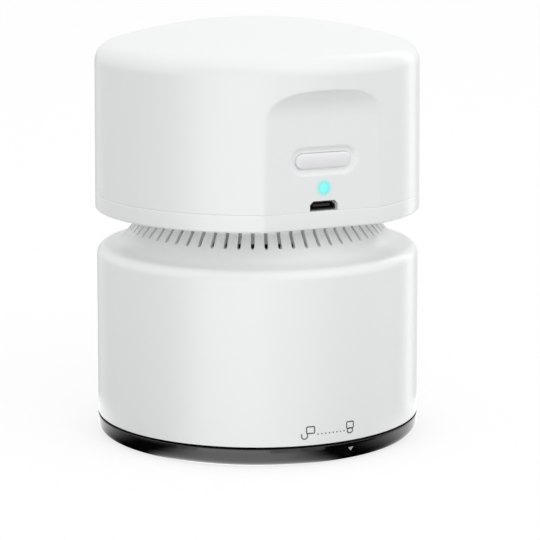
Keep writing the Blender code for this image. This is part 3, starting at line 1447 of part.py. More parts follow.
def make_leads():
    """Leads from the motor's terminals and from the cell's ends to the board's back."""
    board = BOARD_BACK + GAP
    terminal = -TERMINAL_WIDTH / 2 - GAP
    level = END_CAP_TOP + TERMINAL_HEIGHT - LEAD_RADIUS / 2
    motor_end = BOARD_TOP - MOTOR_LEAD_DROP
    cell_start = CELL_CENTRE + CELL_LEAD_RISE
    cell_end = BOARD_TOP - CELL_LEAD_DROP
    swing = CRADLE_OUTER + CELL_LEAD_SWING
    for side, label, finish in ((1, "red", "lead_red"), (-1, "black", "lead_black")):
        make_lead(f"motor_lead_{label}", [
            Vector((side * TERMINAL_ASIDE, terminal, level)),
            Vector((side * TERMINAL_ASIDE, terminal - LEAD_STRAIGHT, level)),
            Vector((side * TERMINAL_ASIDE, -MOTOR_RADIUS - LEAD_STRAIGHT, level)),
            Vector((side * MOTOR_LEAD_ASIDE, board + 3 * LEAD_STRAIGHT, motor_end + LEAD_STRAIGHT)),
            Vector((side * MOTOR_LEAD_ASIDE, board + LEAD_STRAIGHT, motor_end)),
            Vector((side * MOTOR_LEAD_ASIDE, board, motor_end)),
        ], finish)
        make_lead(f"cell_lead_{label}", [
            Vector((side * CRADLE_INNER, 0, cell_start)),
            Vector((side * CRADLE_OUTER, 0, cell_start)),
            Vector((side * swing, -CRADLE_WIDTH / 4, CELL_CENTRE)),
            Vector((side * swing, -CRADLE_WIDTH / 2, CRADLE_FOOT)),
            Vector((side * CELL_LEAD_ASIDE, board + 2 * LEAD_STRAIGHT, cell_end + LEAD_STRAIGHT)),
            Vector((side * CELL_LEAD_ASIDE, board + LEAD_STRAIGHT, cell_end)),
            Vector((side * CELL_LEAD_ASIDE, board, cell_end)),
        ], finish)


def ride(parent, *children):
    """Parent pieces to an empty on their joint's axis, where they stand."""
    for child in children:
        child.parent = parent
        child.location -= parent.location


def empty(name, location):
    """An empty that marks a joint's axis."""
    made = bpy.data.objects.new(name, None)
    made.location = location
    bpy.data.collections["mini_vacuum"].objects.link(made)
    return made


def main():
    """Build every piece and parent the moving ones to their axes."""
    clear_scene()
    new_collection("mini_vacuum")
    new_collection("cutters")
    base_turn = empty("base_turn_axis", (0, 0, 0))
    rotor_turn = empty("rotor_axis", (0, 0, 0))
    slide = empty("button_slide_axis", (0, -FACET_DISTANCE, BUTTON_Z))
    make_top_cover()
    make_upper_base()
    make_body_shell()
    make_fan_shroud()
    make_motor_mount()
    ride(rotor_turn, make_motor(), make_impeller())
    make_filter()
    make_button(slide)
    make_board()
    make_cradle()
    make_screws()
    make_leads()
    ride(base_turn, make_base_ring(), make_intake_duct(), make_base_seal())
    for index in range(BRUSH_COUNT):
        ride(base_turn, make_brush_strip(index))


main()
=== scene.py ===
"""Desktop mini vacuum cleaner: fine surfaces, finishes and a plain photo stage.

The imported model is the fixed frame. Its shells, ring, button, lamp, socket, duct and
brushes get finer pieces in the same places, and every other piece keeps its solid and
gets a finish. The flat facet faces -Y, and an azimuth is counted from it toward +X.
"""
import json
import math

import bmesh
import bpy
from mathutils import Matrix, Vector


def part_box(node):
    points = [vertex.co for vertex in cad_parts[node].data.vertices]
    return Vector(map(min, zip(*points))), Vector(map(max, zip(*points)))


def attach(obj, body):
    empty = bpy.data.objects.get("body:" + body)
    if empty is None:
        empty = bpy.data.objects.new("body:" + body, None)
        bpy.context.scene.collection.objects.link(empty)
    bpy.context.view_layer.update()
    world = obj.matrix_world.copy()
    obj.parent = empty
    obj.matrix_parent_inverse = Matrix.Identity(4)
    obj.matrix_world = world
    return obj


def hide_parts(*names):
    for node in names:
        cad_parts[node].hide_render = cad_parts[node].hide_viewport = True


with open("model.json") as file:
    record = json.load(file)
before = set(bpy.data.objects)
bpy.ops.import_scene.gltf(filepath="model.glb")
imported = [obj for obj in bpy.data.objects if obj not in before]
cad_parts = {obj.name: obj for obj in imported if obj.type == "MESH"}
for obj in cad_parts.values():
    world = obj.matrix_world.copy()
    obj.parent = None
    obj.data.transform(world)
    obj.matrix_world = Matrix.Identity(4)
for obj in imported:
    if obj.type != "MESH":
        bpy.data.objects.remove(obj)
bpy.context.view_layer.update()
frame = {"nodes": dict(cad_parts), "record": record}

bl_info = {
    "name": "Desktop mini vacuum",
    "version": (1, 0, 0),
    "blender": (4, 5, 0),
    "location": "3D View > Sidebar > Mini vacuum",
    "description": "Builds the fine shells, finishes and photo stage of a desktop mini vacuum",
    "category": "Object",
}

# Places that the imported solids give
COVER_LOW, COVER_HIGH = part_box("top_cover")
BAND_LOW, BAND_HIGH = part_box("upper_base")
BODY_LOW, BODY_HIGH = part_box("body_shell")
RING_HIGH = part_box("base_ring")[1]
BUTTON_LOW, BUTTON_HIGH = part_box("power_button")
PIPE_LOW, PIPE_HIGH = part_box("light_pipe")
SOCKET_LOW, SOCKET_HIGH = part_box("charging_socket")
TONGUE_LOW, TONGUE_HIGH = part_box("socket_tongue")
DUCT_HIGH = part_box("intake_duct")[1]

# Clearances, steps and limits that the builders share
GAP = 0.0003
OVERRUN = 0.002
EMBED = 0.0004
MERGE_DISTANCE = 0.000002
SMALL_EDGE = 0.0002
SOFT_EDGE = 0.0004
SHARP_ANGLE = math.radians(32)
RIGHT_ANGLE = math.radians(90)
ROUND_COLUMNS = 240
FILLET_STEPS = 10
FOOT_FILLET_STEPS = 6
ARC_STEPS = 12
LONG_ARC_STEPS = 24
STOP_STEPS = 2
STADIUM_STEPS = 16
ROD_STEPS = 32

# How squarely a column has to face the front to reach the facet, and the turn that the dish
# and its surroundings stay within
FACET_FACING = 0.5
DISH_TURN = 1.0

# The cover's mesh: columns round its back, steps along its crown and the crown's fillet, and
# the pitch of its inner rows
BACK_COLUMNS = 104
OUTER_STEPS = (24, 14)
INNER_STEPS = (12, 6)
INNER_PITCH = 0.0012

# Posts, bosses and screw holes on the deck
POST_HALF = 0.0019
POST_DEPTH = 0.0032
BOSS_RADIUS = 0.0026
PILOT_RADIUS = 0.001
PILOT_REACH = 0.004
PILOT_DEPTH = 0.008
SHROUD_HOLE = 0.00115
SHROUD_HOLE_COUNT = 3
HOLE_STEPS = 24

# The neck's lower edge, and a slot's cutter: its start inside the waist's edge, and its end
# inside the neck's wall
NECK_EDGE = 0.0006
SLOT_START = 0.00135
SLOT_END = 0.0013

# The duct's mesh, its flange and the reach, bend and middle height of its cap
DUCT_COLUMNS = 72
DUCT_STEPS = 5
FLANGE_EDGE = 0.0003
CAP_REACH = 0.0022
CAP_BEND = 0.008
CAP_BEND_SHARE = 0.6

# Bristles: sides of a strand, clearance under its tip and what a strip adds to the seed
STRAND_SIDES = 5
TIP_GAP = 1.5 * GAP
SEED_STEP = 10

# The button's mesh: steps round its edge and from there to its middle
BUTTON_EDGE_STEPS = 8
BUTTON_FACE_STEPS = 7

# The lamp's window: shares of its radius with the drop at each, and its flange's thickness
LAMP_DOME = ((0.5, 0.00003), (0.85, 0.0001), (1.0, 0.00025))
LAMP_FLANGE = 0.0008
LAMP_COLUMNS = 48

# Socket: a black sleeve of painted shade, as shares of the shell's wall, and the tongue's contacts
SHADE_SLEEVE_SHARES = (1.02, 1.8)
SHADE_SLEEVE_INSET = 0.0002
SHADE_SLEEVE_FLOOR = 0.0008
CONTACT_START = 0.0003
CONTACT_END = 0.0010
CONTACT_PROUD = 0.00005
CONTACT_DEPTH = 0.0001

# Printed signs: the longest step along a line, the least cosine by which a corner widens, the
# steps along a bow and round a lock's corner, and the corners of a dot
PRINT_STEP = 0.0003
PRINT_CORNER_SHARE = 0.5
BOW_STEPS = 14
LOCK_CORNER_STEPS = 5
DOT_CORNERS = 24

# Every finish: the scale of its broad variation, about one patch in 17 mm, the detail of both
# its noises and the least roughness
BROAD_SCALE = 60.0
BROAD_DETAIL = 2.0
GRAIN_DETAIL = 3.0
LEAST_ROUGHNESS = 0.02


def linear(code):
    """Linear colour of an sRGB hex code."""
    channels = []
    for start in (1, 3, 5):
        value = int(code[start:start + 2], 16) / 255
        channels.append(value / 12.92 if value <= 0.04045 else ((value + 0.055) / 1.055) ** 2.4)
    return (*channels, 1.0)


def length(name, text, value):
    """A length that a user may change."""
    return bpy.props.FloatProperty(
        name=name, description=text, default=value, min=0.0, unit="LENGTH", precision=5,
    )


def angle(name, text, degrees):
    """An angle that a user may change."""
    return bpy.props.FloatProperty(
        name=name, description=text, default=math.radians(degrees), subtype="ANGLE",
    )


def amount(name, text, value):
    """A count that a user may change."""
    return bpy.props.IntProperty(name=name, description=text, default=value, min=1)


def colour(name, text, code):
    """A colour that a user may change."""
    return bpy.props.FloatVectorProperty(
        name=name, description=text, default=linear(code), size=4, min=0.0, max=1.0,
        subtype="COLOR",
    )


class HousingSizes(bpy.types.PropertyGroup):
    """Sizes of the domed cover, its facet and the band below it."""

    wall: length("Wall", "Thickness of the cover's wall", 0.0020)
    draft: length("Draft", "How much the wall narrows from its foot to the crown", 0.00027)
    crown_radius: length("Crown radius", "Radius of the shallow dome on top", 0.129)
    crown_fillet: length("Crown fillet", "Rounding from the wall to the dome", 0.0053)
    facet_distance: length("Facet distance", "From the turning axis to the facet", -PIPE_LOW.y)
    facet_edge: length("Facet edge", "Softness of the facet's edge", 0.00022)
    roof_foot: length("Roof foot", "Height on the facet at which its hollow begins", 0.0232)
    roof_height: length("Roof height", "Height of the hollow above the facet", 0.0073)
    roof_depth: length("Roof depth", "How far the hollow comes forward", 0.0042)
    facet_pitch: length("Facet pitch", "Spacing of the mesh on the facet", 0.0002)
    facet_reach: length("Facet reach", "Half the width that is finely meshed", 0.0174)
    band_fillet: length("Band fillet", "Rounding of the band's lower edge", 0.0006)
    band_drop: length("Band drop", "How far the fine band's edge lies lower", 0.0004)
    band_rim: length("Band rim", "Thickness of the band's rim", 0.0020)
    deck_rise: length("Deck rise", "From the band's foot up to the deck", 0.0013)
    deck: length("Deck", "Thickness of the deck", 0.0015)
    deck_hole: length("Deck hole", "Radius of the hole that the motor hangs in", 0.0207)
    lip_wall: length("Lip wall", "Thickness of the lip inside the cover", 0.0014)
    lip_height: length("Lip height", "How far the lip reaches into the cover", 0.0030)
    seam_depth: length("Seam depth", "How far the seam's floor lies behind the wall", 0.00008)
    seam_gap: length("Seam gap", "Open height left above the seam's floor", 0.00002)
    seam_edge: length("Seam edge", "Rounding of the two edges at the seam", 0.00007)


class ButtonSizes(bpy.types.PropertyGroup):
    """Sizes of the button, its dish, the lamp and the socket."""

    width: length("Width", "Width of the button's face", 0.0150)
    height: length("Height", "Height of the button's face", 0.0038)
    drop: length("Drop", "How far the face lies below the solid's middle", 0.0003)
    edge: length("Edge", "Rounding of the button's face", 0.0006)
    dome: length("Dome", "How much the button's face swells", 0.00012)
    flange_margin: length("Flange margin", "How far the hidden flange is wider", 0.0010)
    flange: length("Flange", "Thickness of the hidden flange", 0.0010)
    seam: length("Button seam", "Open line round the button", 0.00008)
    dish_margin: length("Dish margin", "Width of the dish round the button", 0.0018)
    dish_floor: length("Dish floor", "Width of the dish's flat floor", 0.0006)
    dish_depth: length("Dish depth", "Depth of the dish at the button", 0.0009)
    pipe_radius: length("Lamp radius", "Radius of the lamp's window", 0.0010)
    pipe_flange: length("Lamp flange", "Radius of the lamp window's flange", 0.0019)
    shell_wall: length("Socket wall", "Thickness of the socket's metal", 0.00024)
    socket_chamfer: length("Socket chamfer", "Slant of the socket's upper corners", 0.0009)
    contact_count: amount("Contacts", "Contacts on the socket's tongue", 5)


class BodySizes(bpy.types.PropertyGroup):
    """Sizes of the body wall, its shoulder and the slotted neck."""

    wall: length("Wall", "Thickness of the body's wall", 0.0019)
    draft: length("Draft", "How much the wall narrows from foot to top", 0.0002)
    wall_height: length("Wall height", "Height of the body's wall", 0.0428)
    edge_fillet: length("Edge fillet", "Rounding at the top of the wall", 0.0027)
    edge_lift: length("Edge lift", "How far the fine edge lies above the wall's top", 0.00135)
    shoulder_lift: length("Shoulder lift", "How far the fine shoulder lies above it", 0.0020)
    shoulder_rise: length("Shoulder rise", "Rise of the shoulder", 0.0011)
    shoulder_width: length("Shoulder width", "Width of the shoulder", 0.00545)
    waist_fillet: length("Waist fillet", "Rounding from the shoulder to the waist", 0.0060)
    waist_width: length("Waist width", "Width of the slanted waist", 0.0060)
    neck_rise: length("Neck rise", "Height of the slanted waist", 0.0077)
    step_width: length("Step width", "Step that the fan shroud rests under", 0.0018)
    step_drop: length("Step drop", "From the body's edge down to the step", 0.0020)
    slot_count: amount("Slots", "Vent slots round the neck", 60)
    slot_width: length("Slot width", "Width of a vent slot", 0.0009)
    slot_foot: length("Slot foot", "From the shoulder up to a slot's foot", 0.0044)
    slot_drop: length("Slot drop", "From the neck's top down to a slot's head", 0.0019)
    slot_opening: length("Slot opening", "Height of a slot that opens at its foot", 0.0010)
    slot_wall: length("Slot wall", "Thickness of the wall round the slots", 0.0014)
    groove: length("Groove", "How far a slot's liner lies behind its mouth", 0.0012)
    ledge_angle: angle("Ledge angle", "How far a bayonet ledge runs round", 15)
    stop_angle: angle("Stop angle", "How far a bayonet stop runs round", 2.5)
    ledge_rise: length("Ledge rise", "From the body's foot up to a ledge", 0.0013)
    ledge_height: length("Ledge height", "Thickness of a bayonet ledge", 0.0015)


class BaseSizes(bpy.types.PropertyGroup):
    """Sizes of the base ring, its plate, the lugs, the duct and the brushes."""

    ring_height: length("Ring height", "Height of the black ring", BODY_LOW.z - GAP)
    shadow_gap: length("Shadow gap", "How much wider the line above the ring is cut", 0.00018)
    foot_undercut: length("Foot undercut", "How far the foot is drawn in", 0.0029)
    foot_width: length("Foot width", "Width of the flat foot", 0.0046)
    round_height: length("Round height", "Height of the curve at the foot", 0.0025)
    recess: length("Recess", "Depth of the recess underneath", 0.0052)
    plate: length("Plate", "Thickness of the plate", 0.0016)
    collar_wall: length("Collar wall", "Thickness of the collar", 0.0015)
    lug_reach: length("Lug reach", "From the collar to the body's inner wall", 0.00195)
    lug_count: amount("Lugs", "Bayonet lugs round the collar", 3)
    lug_angle: angle("Lug angle", "How far a lug runs round", 14)
    lug_first: angle("First lug", "Turn of the first lug from +X", 30)
    lug_height: length("Lug height", "Thickness of a lug", 0.0016)
    duct_bore: length("Duct bore", "Radius of the intake duct", 0.0076)
    duct_wall: length("Duct wall", "Thickness of the duct's wall", 0.0012)
    duct_flange: length("Duct flange", "Thickness of the duct's flange", 0.0011)
    cap_gap: length("Cap gap", "Opening under the duct's cap", 0.0042)
    cap_rise: length("Cap rise", "Rise of the cap to its middle", 0.0022)
    leg_width: length("Leg width", "Width of the cap's legs", 0.0014)
    leg_count: amount("Legs", "Legs that carry the duct's cap", 3)
    brush_count: amount("Brushes", "Brush strips under the plate", 4)
    brush_angle: angle("Brush angle", "How far a strip runs round", 62)
    brush_first: angle("First brush", "Turn of the first strip's middle from +X", 45)
    brush_inset: length("Brush inset", "From the foot's edge in to a strip's middle", 0.0092)
    brush_width: length("Brush width", "Width of a strip's backing", 0.0034)
    brush_back: length("Brush back", "Thickness of a strip's backing", 0.0010)
    brush_pocket: length("Brush pocket", "Depth of the pocket a strip sits in", 0.0006)
    strand_rows: amount("Strand rows", "Rows of strands across a strip", 8)
    strand_columns: amount("Strand columns", "Strands along a strip", 75)
    strand_radius: length("Strand radius", "Radius of a strand at its root", 0.00013)
    tip_radius: length("Tip radius", "Radius of a strand at its tip", 0.00006)
    strand_lean: angle("Strand lean", "How far strands lean from upright", 4)
    strand_seed: amount("Strand seed", "Seed for the strands' lean", 7)


class SignSizes(bpy.types.PropertyGroup):
    """Sizes of the printed lock signs and the mark on the ring."""

    stroke: length("Stroke", "Width of a printed line", 0.00031)
    proud: length("Ink", "Thickness of the ink", 0.00002)
    corner: length("Corner", "Rounding of the lock bodies' corners", 0.0003)
    dot_count: amount("Dots", "Dots between the two signs", 8)
    dot_radius: length("Dot radius", "Radius of a dot", 0.00019)
    dots_first: angle("First dot", "Azimuth of the first dot", -3.9)
    dots_last: angle("Last dot", "Azimuth of the last dot", 6.1)
    dots_height: length("Dot height", "Height of the dots above the floor", 0.00797)


class Finishes(bpy.types.PropertyGroup):
    """Colours of the finishes."""

    white: colour("White", "Gloss white moulding", "#F4F6F5")
    button: colour("Button", "White of the button", "#F1F1F3")
    black: colour("Black", "Gloss black ring", "#070707")
    grey: colour("Grey", "Light grey inner mouldings", "#C9CBCF")
    lamp: colour("Lamp", "Light of the lamp", "#78F0E6")
    ink: colour("Ink", "Ink of the signs", "#4E4F51")
    pale_ink: colour("Pale ink", "Ink of the mark on the ring", "#A9ABAD")


class StageSizes(bpy.types.PropertyGroup):
    """Camera, floor and lights."""

    camera_azimuth: angle("Camera azimuth", "Where the camera stands", -24.9)
    camera_pitch: angle("Camera pitch", "How far the camera looks down", 11.14)
    camera_yaw: angle("Camera yaw", "How far the camera looks aside", 0.30)
    camera_distance: length("Camera distance", "From the axis, along the floor", 0.6297)
    camera_height: length("Camera height", "Above the floor", 0.1659)
    floor_size: length("Floor size", "Side of the floor", 12.0)
    card_distance: length("Card distance", "From the axis to an upright card", 1.6)
    card_top: length("Card top", "How far a card reaches above the floor", 0.1)
    card_foot: length("Card foot", "How far a card reaches below the floor", 2.0)


GROUPS = {
    "vacuum_housing": HousingSizes,
    "vacuum_button": ButtonSizes,
    "vacuum_body": BodySizes,
    "vacuum_base": BaseSizes,
    "vacuum_signs": SignSizes,
    "vacuum_finishes": Finishes,
    "vacuum_stage": StageSizes,
}


def sizes(group):
    """The scene's values of one property group."""
    return getattr(bpy.context.scene, f"vacuum_{group}")


# Mesh builders


def middle_of(name):
    """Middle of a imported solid's box."""
    low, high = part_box(name)
    return (low + high) / 2


def around(azimuth, radius, height=0.0):
    """The point at an azimuth, a radius and a height."""
    return Vector((radius * math.sin(azimuth), -radius * math.cos(azimuth), height))


def evenly(count, first=0.0):
    """Azimuths spread evenly round the axis."""
    return [first + math.tau * index / count for index in range(count)]


def filleted(corners, steps=FILLET_STEPS):
    """Points of a path given by corners, each a radius, a height and a fillet."""
    points = []
    last = len(corners) - 1
    for index, (across, height, fillet) in enumerate(corners):
        here = Vector((across, height))
        if index in (0, last) or not fillet:
            points.append(here)
            continue
        before = (Vector(corners[index - 1][:2]) - here).normalized()
        after = (Vector(corners[index + 1][:2]) - here).normalized()
        half = before.angle(after) / 2
        centre = here + (before + after).normalized() * fillet / math.sin(half)
        arm = here + before * fillet / math.tan(half) - centre
        turn = math.copysign(math.pi - 2 * half, before.x * after.y - before.y * after.x)
        for step in range(steps + 1):
            points.append(centre + Matrix.Rotation(-turn * step / steps, 2) @ arm)
    return [(point.x, point.y) for point in points]


def lathe(work, profile, azimuths, bend=around, stand=None):
    """Turn a closed profile round the axis. A bend may move each point."""
    rings = []
    for across, height in profile:
        places = [Vector((0, 0, height))] if across == 0 else [
            bend(azimuth, across, height) for azimuth in azimuths
        ]
        rings.append([work.verts.new(stand @ place if stand else place) for place in places])
    count = len(azimuths)
    for upper, lower in zip(rings, rings[1:] + rings[:1]):
        if len(upper) == 1 and len(lower) == 1:
            continue
        for index in range(count):
            after = (index + 1) % count
            # A ring of one point lies on the axis, and gives each face that point once
            corners = (
                upper[index % len(upper)], lower[index % len(lower)],
                lower[after % len(lower)], upper[after % len(upper)],
            )
            work.faces.new(list(dict.fromkeys(corners)))


def loft(work, layers):
    """Join outlines of equal counts into a closed form with flat ends."""
    rings = [[work.verts.new(point) for point in layer] for layer in layers]
    for lower, upper in zip(rings, rings[1:]):
        for index in range(len(lower)):
            after = (index + 1) % len(lower)
            work.faces.new((lower[index], lower[after], upper[after], upper[index]))
    work.faces.new(rings[0])
    work.faces.new(rings[-1][::-1])


def arc_block(work, inner, outer, foot, top, start, sweep, steps=ARC_STEPS):
    """A block that follows the round, from one turn from +X through a sweep."""
    layers = []
    for step in range(steps + 1):
        turn = start + sweep * step / steps
        layers.append([
            Vector((across * math.cos(turn), across * math.sin(turn), height))
            for across, height in ((inner, foot), (outer, foot), (outer, top), (inner, top))
        ])
    loft(work, layers)


def block(work, low, high):
    """A box between two corners."""
    low, high = Vector(low), Vector(high)
    made = bmesh.ops.create_cube(work, size=1)["verts"]
    bmesh.ops.scale(work, vec=high - low, verts=made)
    bmesh.ops.translate(work, vec=(low + high) / 2, verts=made)


def rod(work, radius, foot, top, steps=ROD_STEPS):
    """An upright rod between two points on its axis. Gives back its corners."""
    made = bmesh.ops.create_cone(
        work, cap_ends=True, segments=steps, radius1=radius, radius2=radius, depth=top.z - foot.z,
    )["verts"]
    bmesh.ops.translate(work, vec=(foot + top) / 2, verts=made)
    return made


def stadium(width, height, grow, steps=STADIUM_STEPS):
    """Points of a stadium's outline, made wider all round by a margin."""
    radius = height / 2 + grow
    middle = (width - height) / 2
    points = []
    for side in (1, -1):
        for step in range(steps + 1):
            turn = math.pi * (step / steps - 0.5)
            across = middle + radius * math.cos(turn)
            points.append((side * across, side * radius * math.sin(turn)))
    return points


def standing(points, depth, height):
    """A flat outline put upright, facing the front, at a depth and a height."""
    return [Vector((across, depth, height + up)) for across, up in points]


def piece(name, build, *given, **named):
    """An object at the origin, whose mesh a builder fills and whose faces point outward."""
    work = bmesh.new()
    build(work, *given, **named)
    bmesh.ops.remove_doubles(work, verts=work.verts, dist=MERGE_DISTANCE)
    bmesh.ops.recalc_face_normals(work, faces=work.faces)
    mesh = bpy.data.meshes.new(name)
    work.to_mesh(mesh)
    work.free()
    made = bpy.data.objects.new(name, mesh)
    bpy.context.scene.collection.objects.link(made)
    return made


def settle(item):
    """Turn an object's modifiers into a plain mesh."""
    bpy.context.view_layer.update()
    graph = bpy.context.evaluated_depsgraph_get()
    mesh = bpy.data.meshes.new_from_object(item.evaluated_get(graph), depsgraph=graph)
    mesh.name = item.name
    item.modifiers.clear()
    item.data = mesh
    return item


def carve(item, *tools, operation="DIFFERENCE"):
    """Cut an object by others, or join them to it, and remove the others."""
    for tool in tools:
        step = item.modifiers.new(tool.name, "BOOLEAN")
        step.operation = operation
        step.solver = "EXACT"
        step.object = tool
    settle(item)
    for tool in tools:
        bpy.data.objects.remove(tool, do_unlink=True)
    return item


def joined(item, *others):
    """Add the closed shapes of other objects to an object's mesh, and remove the others."""
    for other in others:
        work = bmesh.new()
        work.from_mesh(item.data)
        work.from_mesh(other.data)
        work.to_mesh(item.data)
        work.free()
        bpy.data.objects.remove(other, do_unlink=True)
    return item


def finished(item, body, slot, *nodes, material=None):
    """Shade a piece, give it its finish, hang it on its body and hide the solids it stands for."""
    item.data.materials.clear()
    item.data.materials.append(material or slot_finish(slot))
    item.data.shade_smooth()
    item.data.set_sharp_from_angle(angle=SHARP_ANGLE)
    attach(item, body)
    if nodes:
        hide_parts(*nodes)


# Node trees


def node(tree, kind, inputs=None, **settings):
    """Add a node with its settings. An input takes a value, a socket or a node's first output."""
    made = tree.nodes.new(kind)
    for name, value in settings.items():
        setattr(made, name, value)
    for name, value in (inputs or {}).items():
        if isinstance(value, bpy.types.Node):
            value = value.outputs[0]
        if isinstance(value, bpy.types.NodeSocket):
            tree.links.new(value, made.inputs[name])
        else:
            made.inputs[name].default_value = value
    return made


def new_tree(name, sockets):
    """An empty Geometry Nodes tree with named inputs, and the sockets that give them."""
    tree = bpy.data.node_groups.new(name, "GeometryNodeTree")
    tree.interface.new_socket("Geometry", in_out="OUTPUT", socket_type="NodeSocketGeometry")
    for label, kind in sockets.items():
        tree.interface.new_socket(label, in_out="INPUT", socket_type=f"NodeSocket{kind}")
    return tree, node(tree, "NodeGroupInput").outputs


def finish_tree(tree, instances, given):
    """End a tree in real geometry with its finish."""
    real = node(tree, "GeometryNodeRealizeInstances", {"Geometry": instances})
    dressed = node(tree, "GeometryNodeSetMaterial", {
        "Geometry": real, "Material": given["Material"],
    })
    node(tree, "NodeGroupOutput", {"Geometry": dressed})
    return tree


def turned_copies_tree():
    """Copies of a shape turned round the Z axis."""
    tree, given = new_tree("turned_copies", {
        "Geometry": "Geometry", "Count": "Int", "First Turn": "Float", "Turn Between": "Float",
        "Material": "Material",
    })
    spots = node(tree, "GeometryNodePoints", {"Count": given["Count"]})
    index = node(tree, "GeometryNodeInputIndex")
    turn = node(tree, "ShaderNodeMath", {
        0: index, 1: given["Turn Between"], 2: given["First Turn"],
    }, operation="MULTIPLY_ADD")
    upright = node(tree, "ShaderNodeCombineXYZ", {"Z": turn})
    turned = node(tree, "FunctionNodeEulerToRotation", {"Euler": upright})
    copies = node(tree, "GeometryNodeInstanceOnPoints", {
        "Points": spots, "Instance": given["Geometry"], "Rotation": turned,
    })
    return finish_tree(tree, copies, given)


def bristles_tree():
    """Tapered strands that hang in rows from a curved backing, each with its own lean."""
    tree, given = new_tree("bristles", {
        "Geometry": "Geometry", "Rows": "Int", "Columns": "Int", "Radius": "Float",
        "Width": "Float", "Middle": "Float", "Sweep": "Float", "Scatter": "Float",
        "Root Height": "Float", "Length": "Float", "Strand Radius": "Float",
        "Tip Radius": "Float", "Lean": "Float", "Seed": "Int", "Material": "Material",
    })
    # A flat grid whose X is the turn along the strip and whose Y is the way across it
    grid = node(tree, "GeometryNodeMeshGrid", {
        "Size X": given["Sweep"], "Size Y": given["Width"],
        "Vertices X": given["Columns"], "Vertices Y": given["Rows"],
    })
    # One chance shifts a strand's root and the other leans it
    other_seed = node(tree, "ShaderNodeMath", {0: given["Seed"], 1: 1.0})
    shift_chance, lean_chance = (
        node(tree, "FunctionNodeRandomValue", {
            0: (-1, -1, 0), 1: (1, 1, 0), "Seed": seed,
        }, data_type="FLOAT_VECTOR") for seed in (given["Seed"], other_seed)
    )
    scatter_turn = node(tree, "ShaderNodeMath", {
        0: given["Scatter"], 1: given["Radius"],
    }, operation="DIVIDE")
    most = node(tree, "ShaderNodeCombineXYZ", {"X": scatter_turn, "Y": given["Scatter"]})
    middle = node(tree, "ShaderNodeCombineXYZ", {"X": given["Middle"], "Y": given["Radius"]})
    shifted = node(tree, "ShaderNodeVectorMath", {
        0: shift_chance, 1: most, 2: middle,
    }, operation="MULTIPLY_ADD")
    place = node(tree, "GeometryNodeInputPosition")
    place = node(tree, "ShaderNodeVectorMath", {0: place, 1: shifted})
    polar = node(tree, "ShaderNodeSeparateXYZ", {"Vector": place}).outputs
    # The flat grid bent round the axis
    arm = node(tree, "ShaderNodeCombineXYZ", {"X": polar["Y"], "Z": given["Root Height"]})
    root = node(tree, "ShaderNodeVectorRotate", {
        "Vector": arm, "Angle": polar["X"],
    }, rotation_type="Z_AXIS")
    roots = node(tree, "GeometryNodeSetPosition", {"Geometry": grid, "Position": root})
    lean = node(tree, "ShaderNodeCombineXYZ", {"X": given["Lean"], "Y": given["Lean"]})
    upright = node(tree, "ShaderNodeCombineXYZ", {"Z": polar["X"]})
    lean = node(tree, "ShaderNodeVectorMath", {
        0: lean_chance, 1: lean, 2: upright,
    }, operation="MULTIPLY_ADD")
    lean = node(tree, "FunctionNodeEulerToRotation", {"Euler": lean})
    strand = node(tree, "GeometryNodeMeshCone", {
        "Vertices": STRAND_SIDES, "Side Segments": 1, "Radius Top": given["Strand Radius"],
        "Radius Bottom": given["Tip Radius"], "Depth": given["Length"],
    })
    drop = node(tree, "ShaderNodeMath", {0: given["Length"], 1: -1.0}, operation="MULTIPLY")
    drop = node(tree, "ShaderNodeCombineXYZ", {"Z": drop})
    hung = node(tree, "GeometryNodeTransform", {"Geometry": strand, "Translation": drop})
    strands = node(tree, "GeometryNodeInstanceOnPoints", {
        "Points": roots, "Instance": hung, "Rotation": lean,
    })
    both = node(tree, "GeometryNodeJoinGeometry", {"Geometry": strands})
    tree.links.new(given["Geometry"], both.inputs[0])
    return finish_tree(tree, both, given)


def grown(item, tree, **values):
    """Run a Geometry Nodes tree on an object and keep the result as its plain mesh."""
    step = item.modifiers.new(tree.name, "NODES")
    step.node_group = tree
    identifiers = {
        socket.name: socket.identifier for socket in tree.interface.items_tree
        if socket.in_out == "INPUT"
    }
    for name, value in values.items():
        step[identifiers[name.replace("_", " ").title()]] = value
    return settle(item)


def repeated(name, count, first, build, *given, between=None):
    """Copies of one shape turned round the axis, evenly unless it is said otherwise."""
    tree = bpy.data.node_groups.get("turned_copies") or turned_copies_tree()
    return grown(
        piece(name, build, *given), tree, count=count, first_turn=first,
        turn_between=between or math.tau / count,
    )


# Finishes

# ABS from a polished mould is even and glossy, with the faintest orange peel
MOULD_GRAIN = 0.0015
MOULD_BUMP = 0.006
MOULDED = {"spread": 0.02, "shade": 0.012}

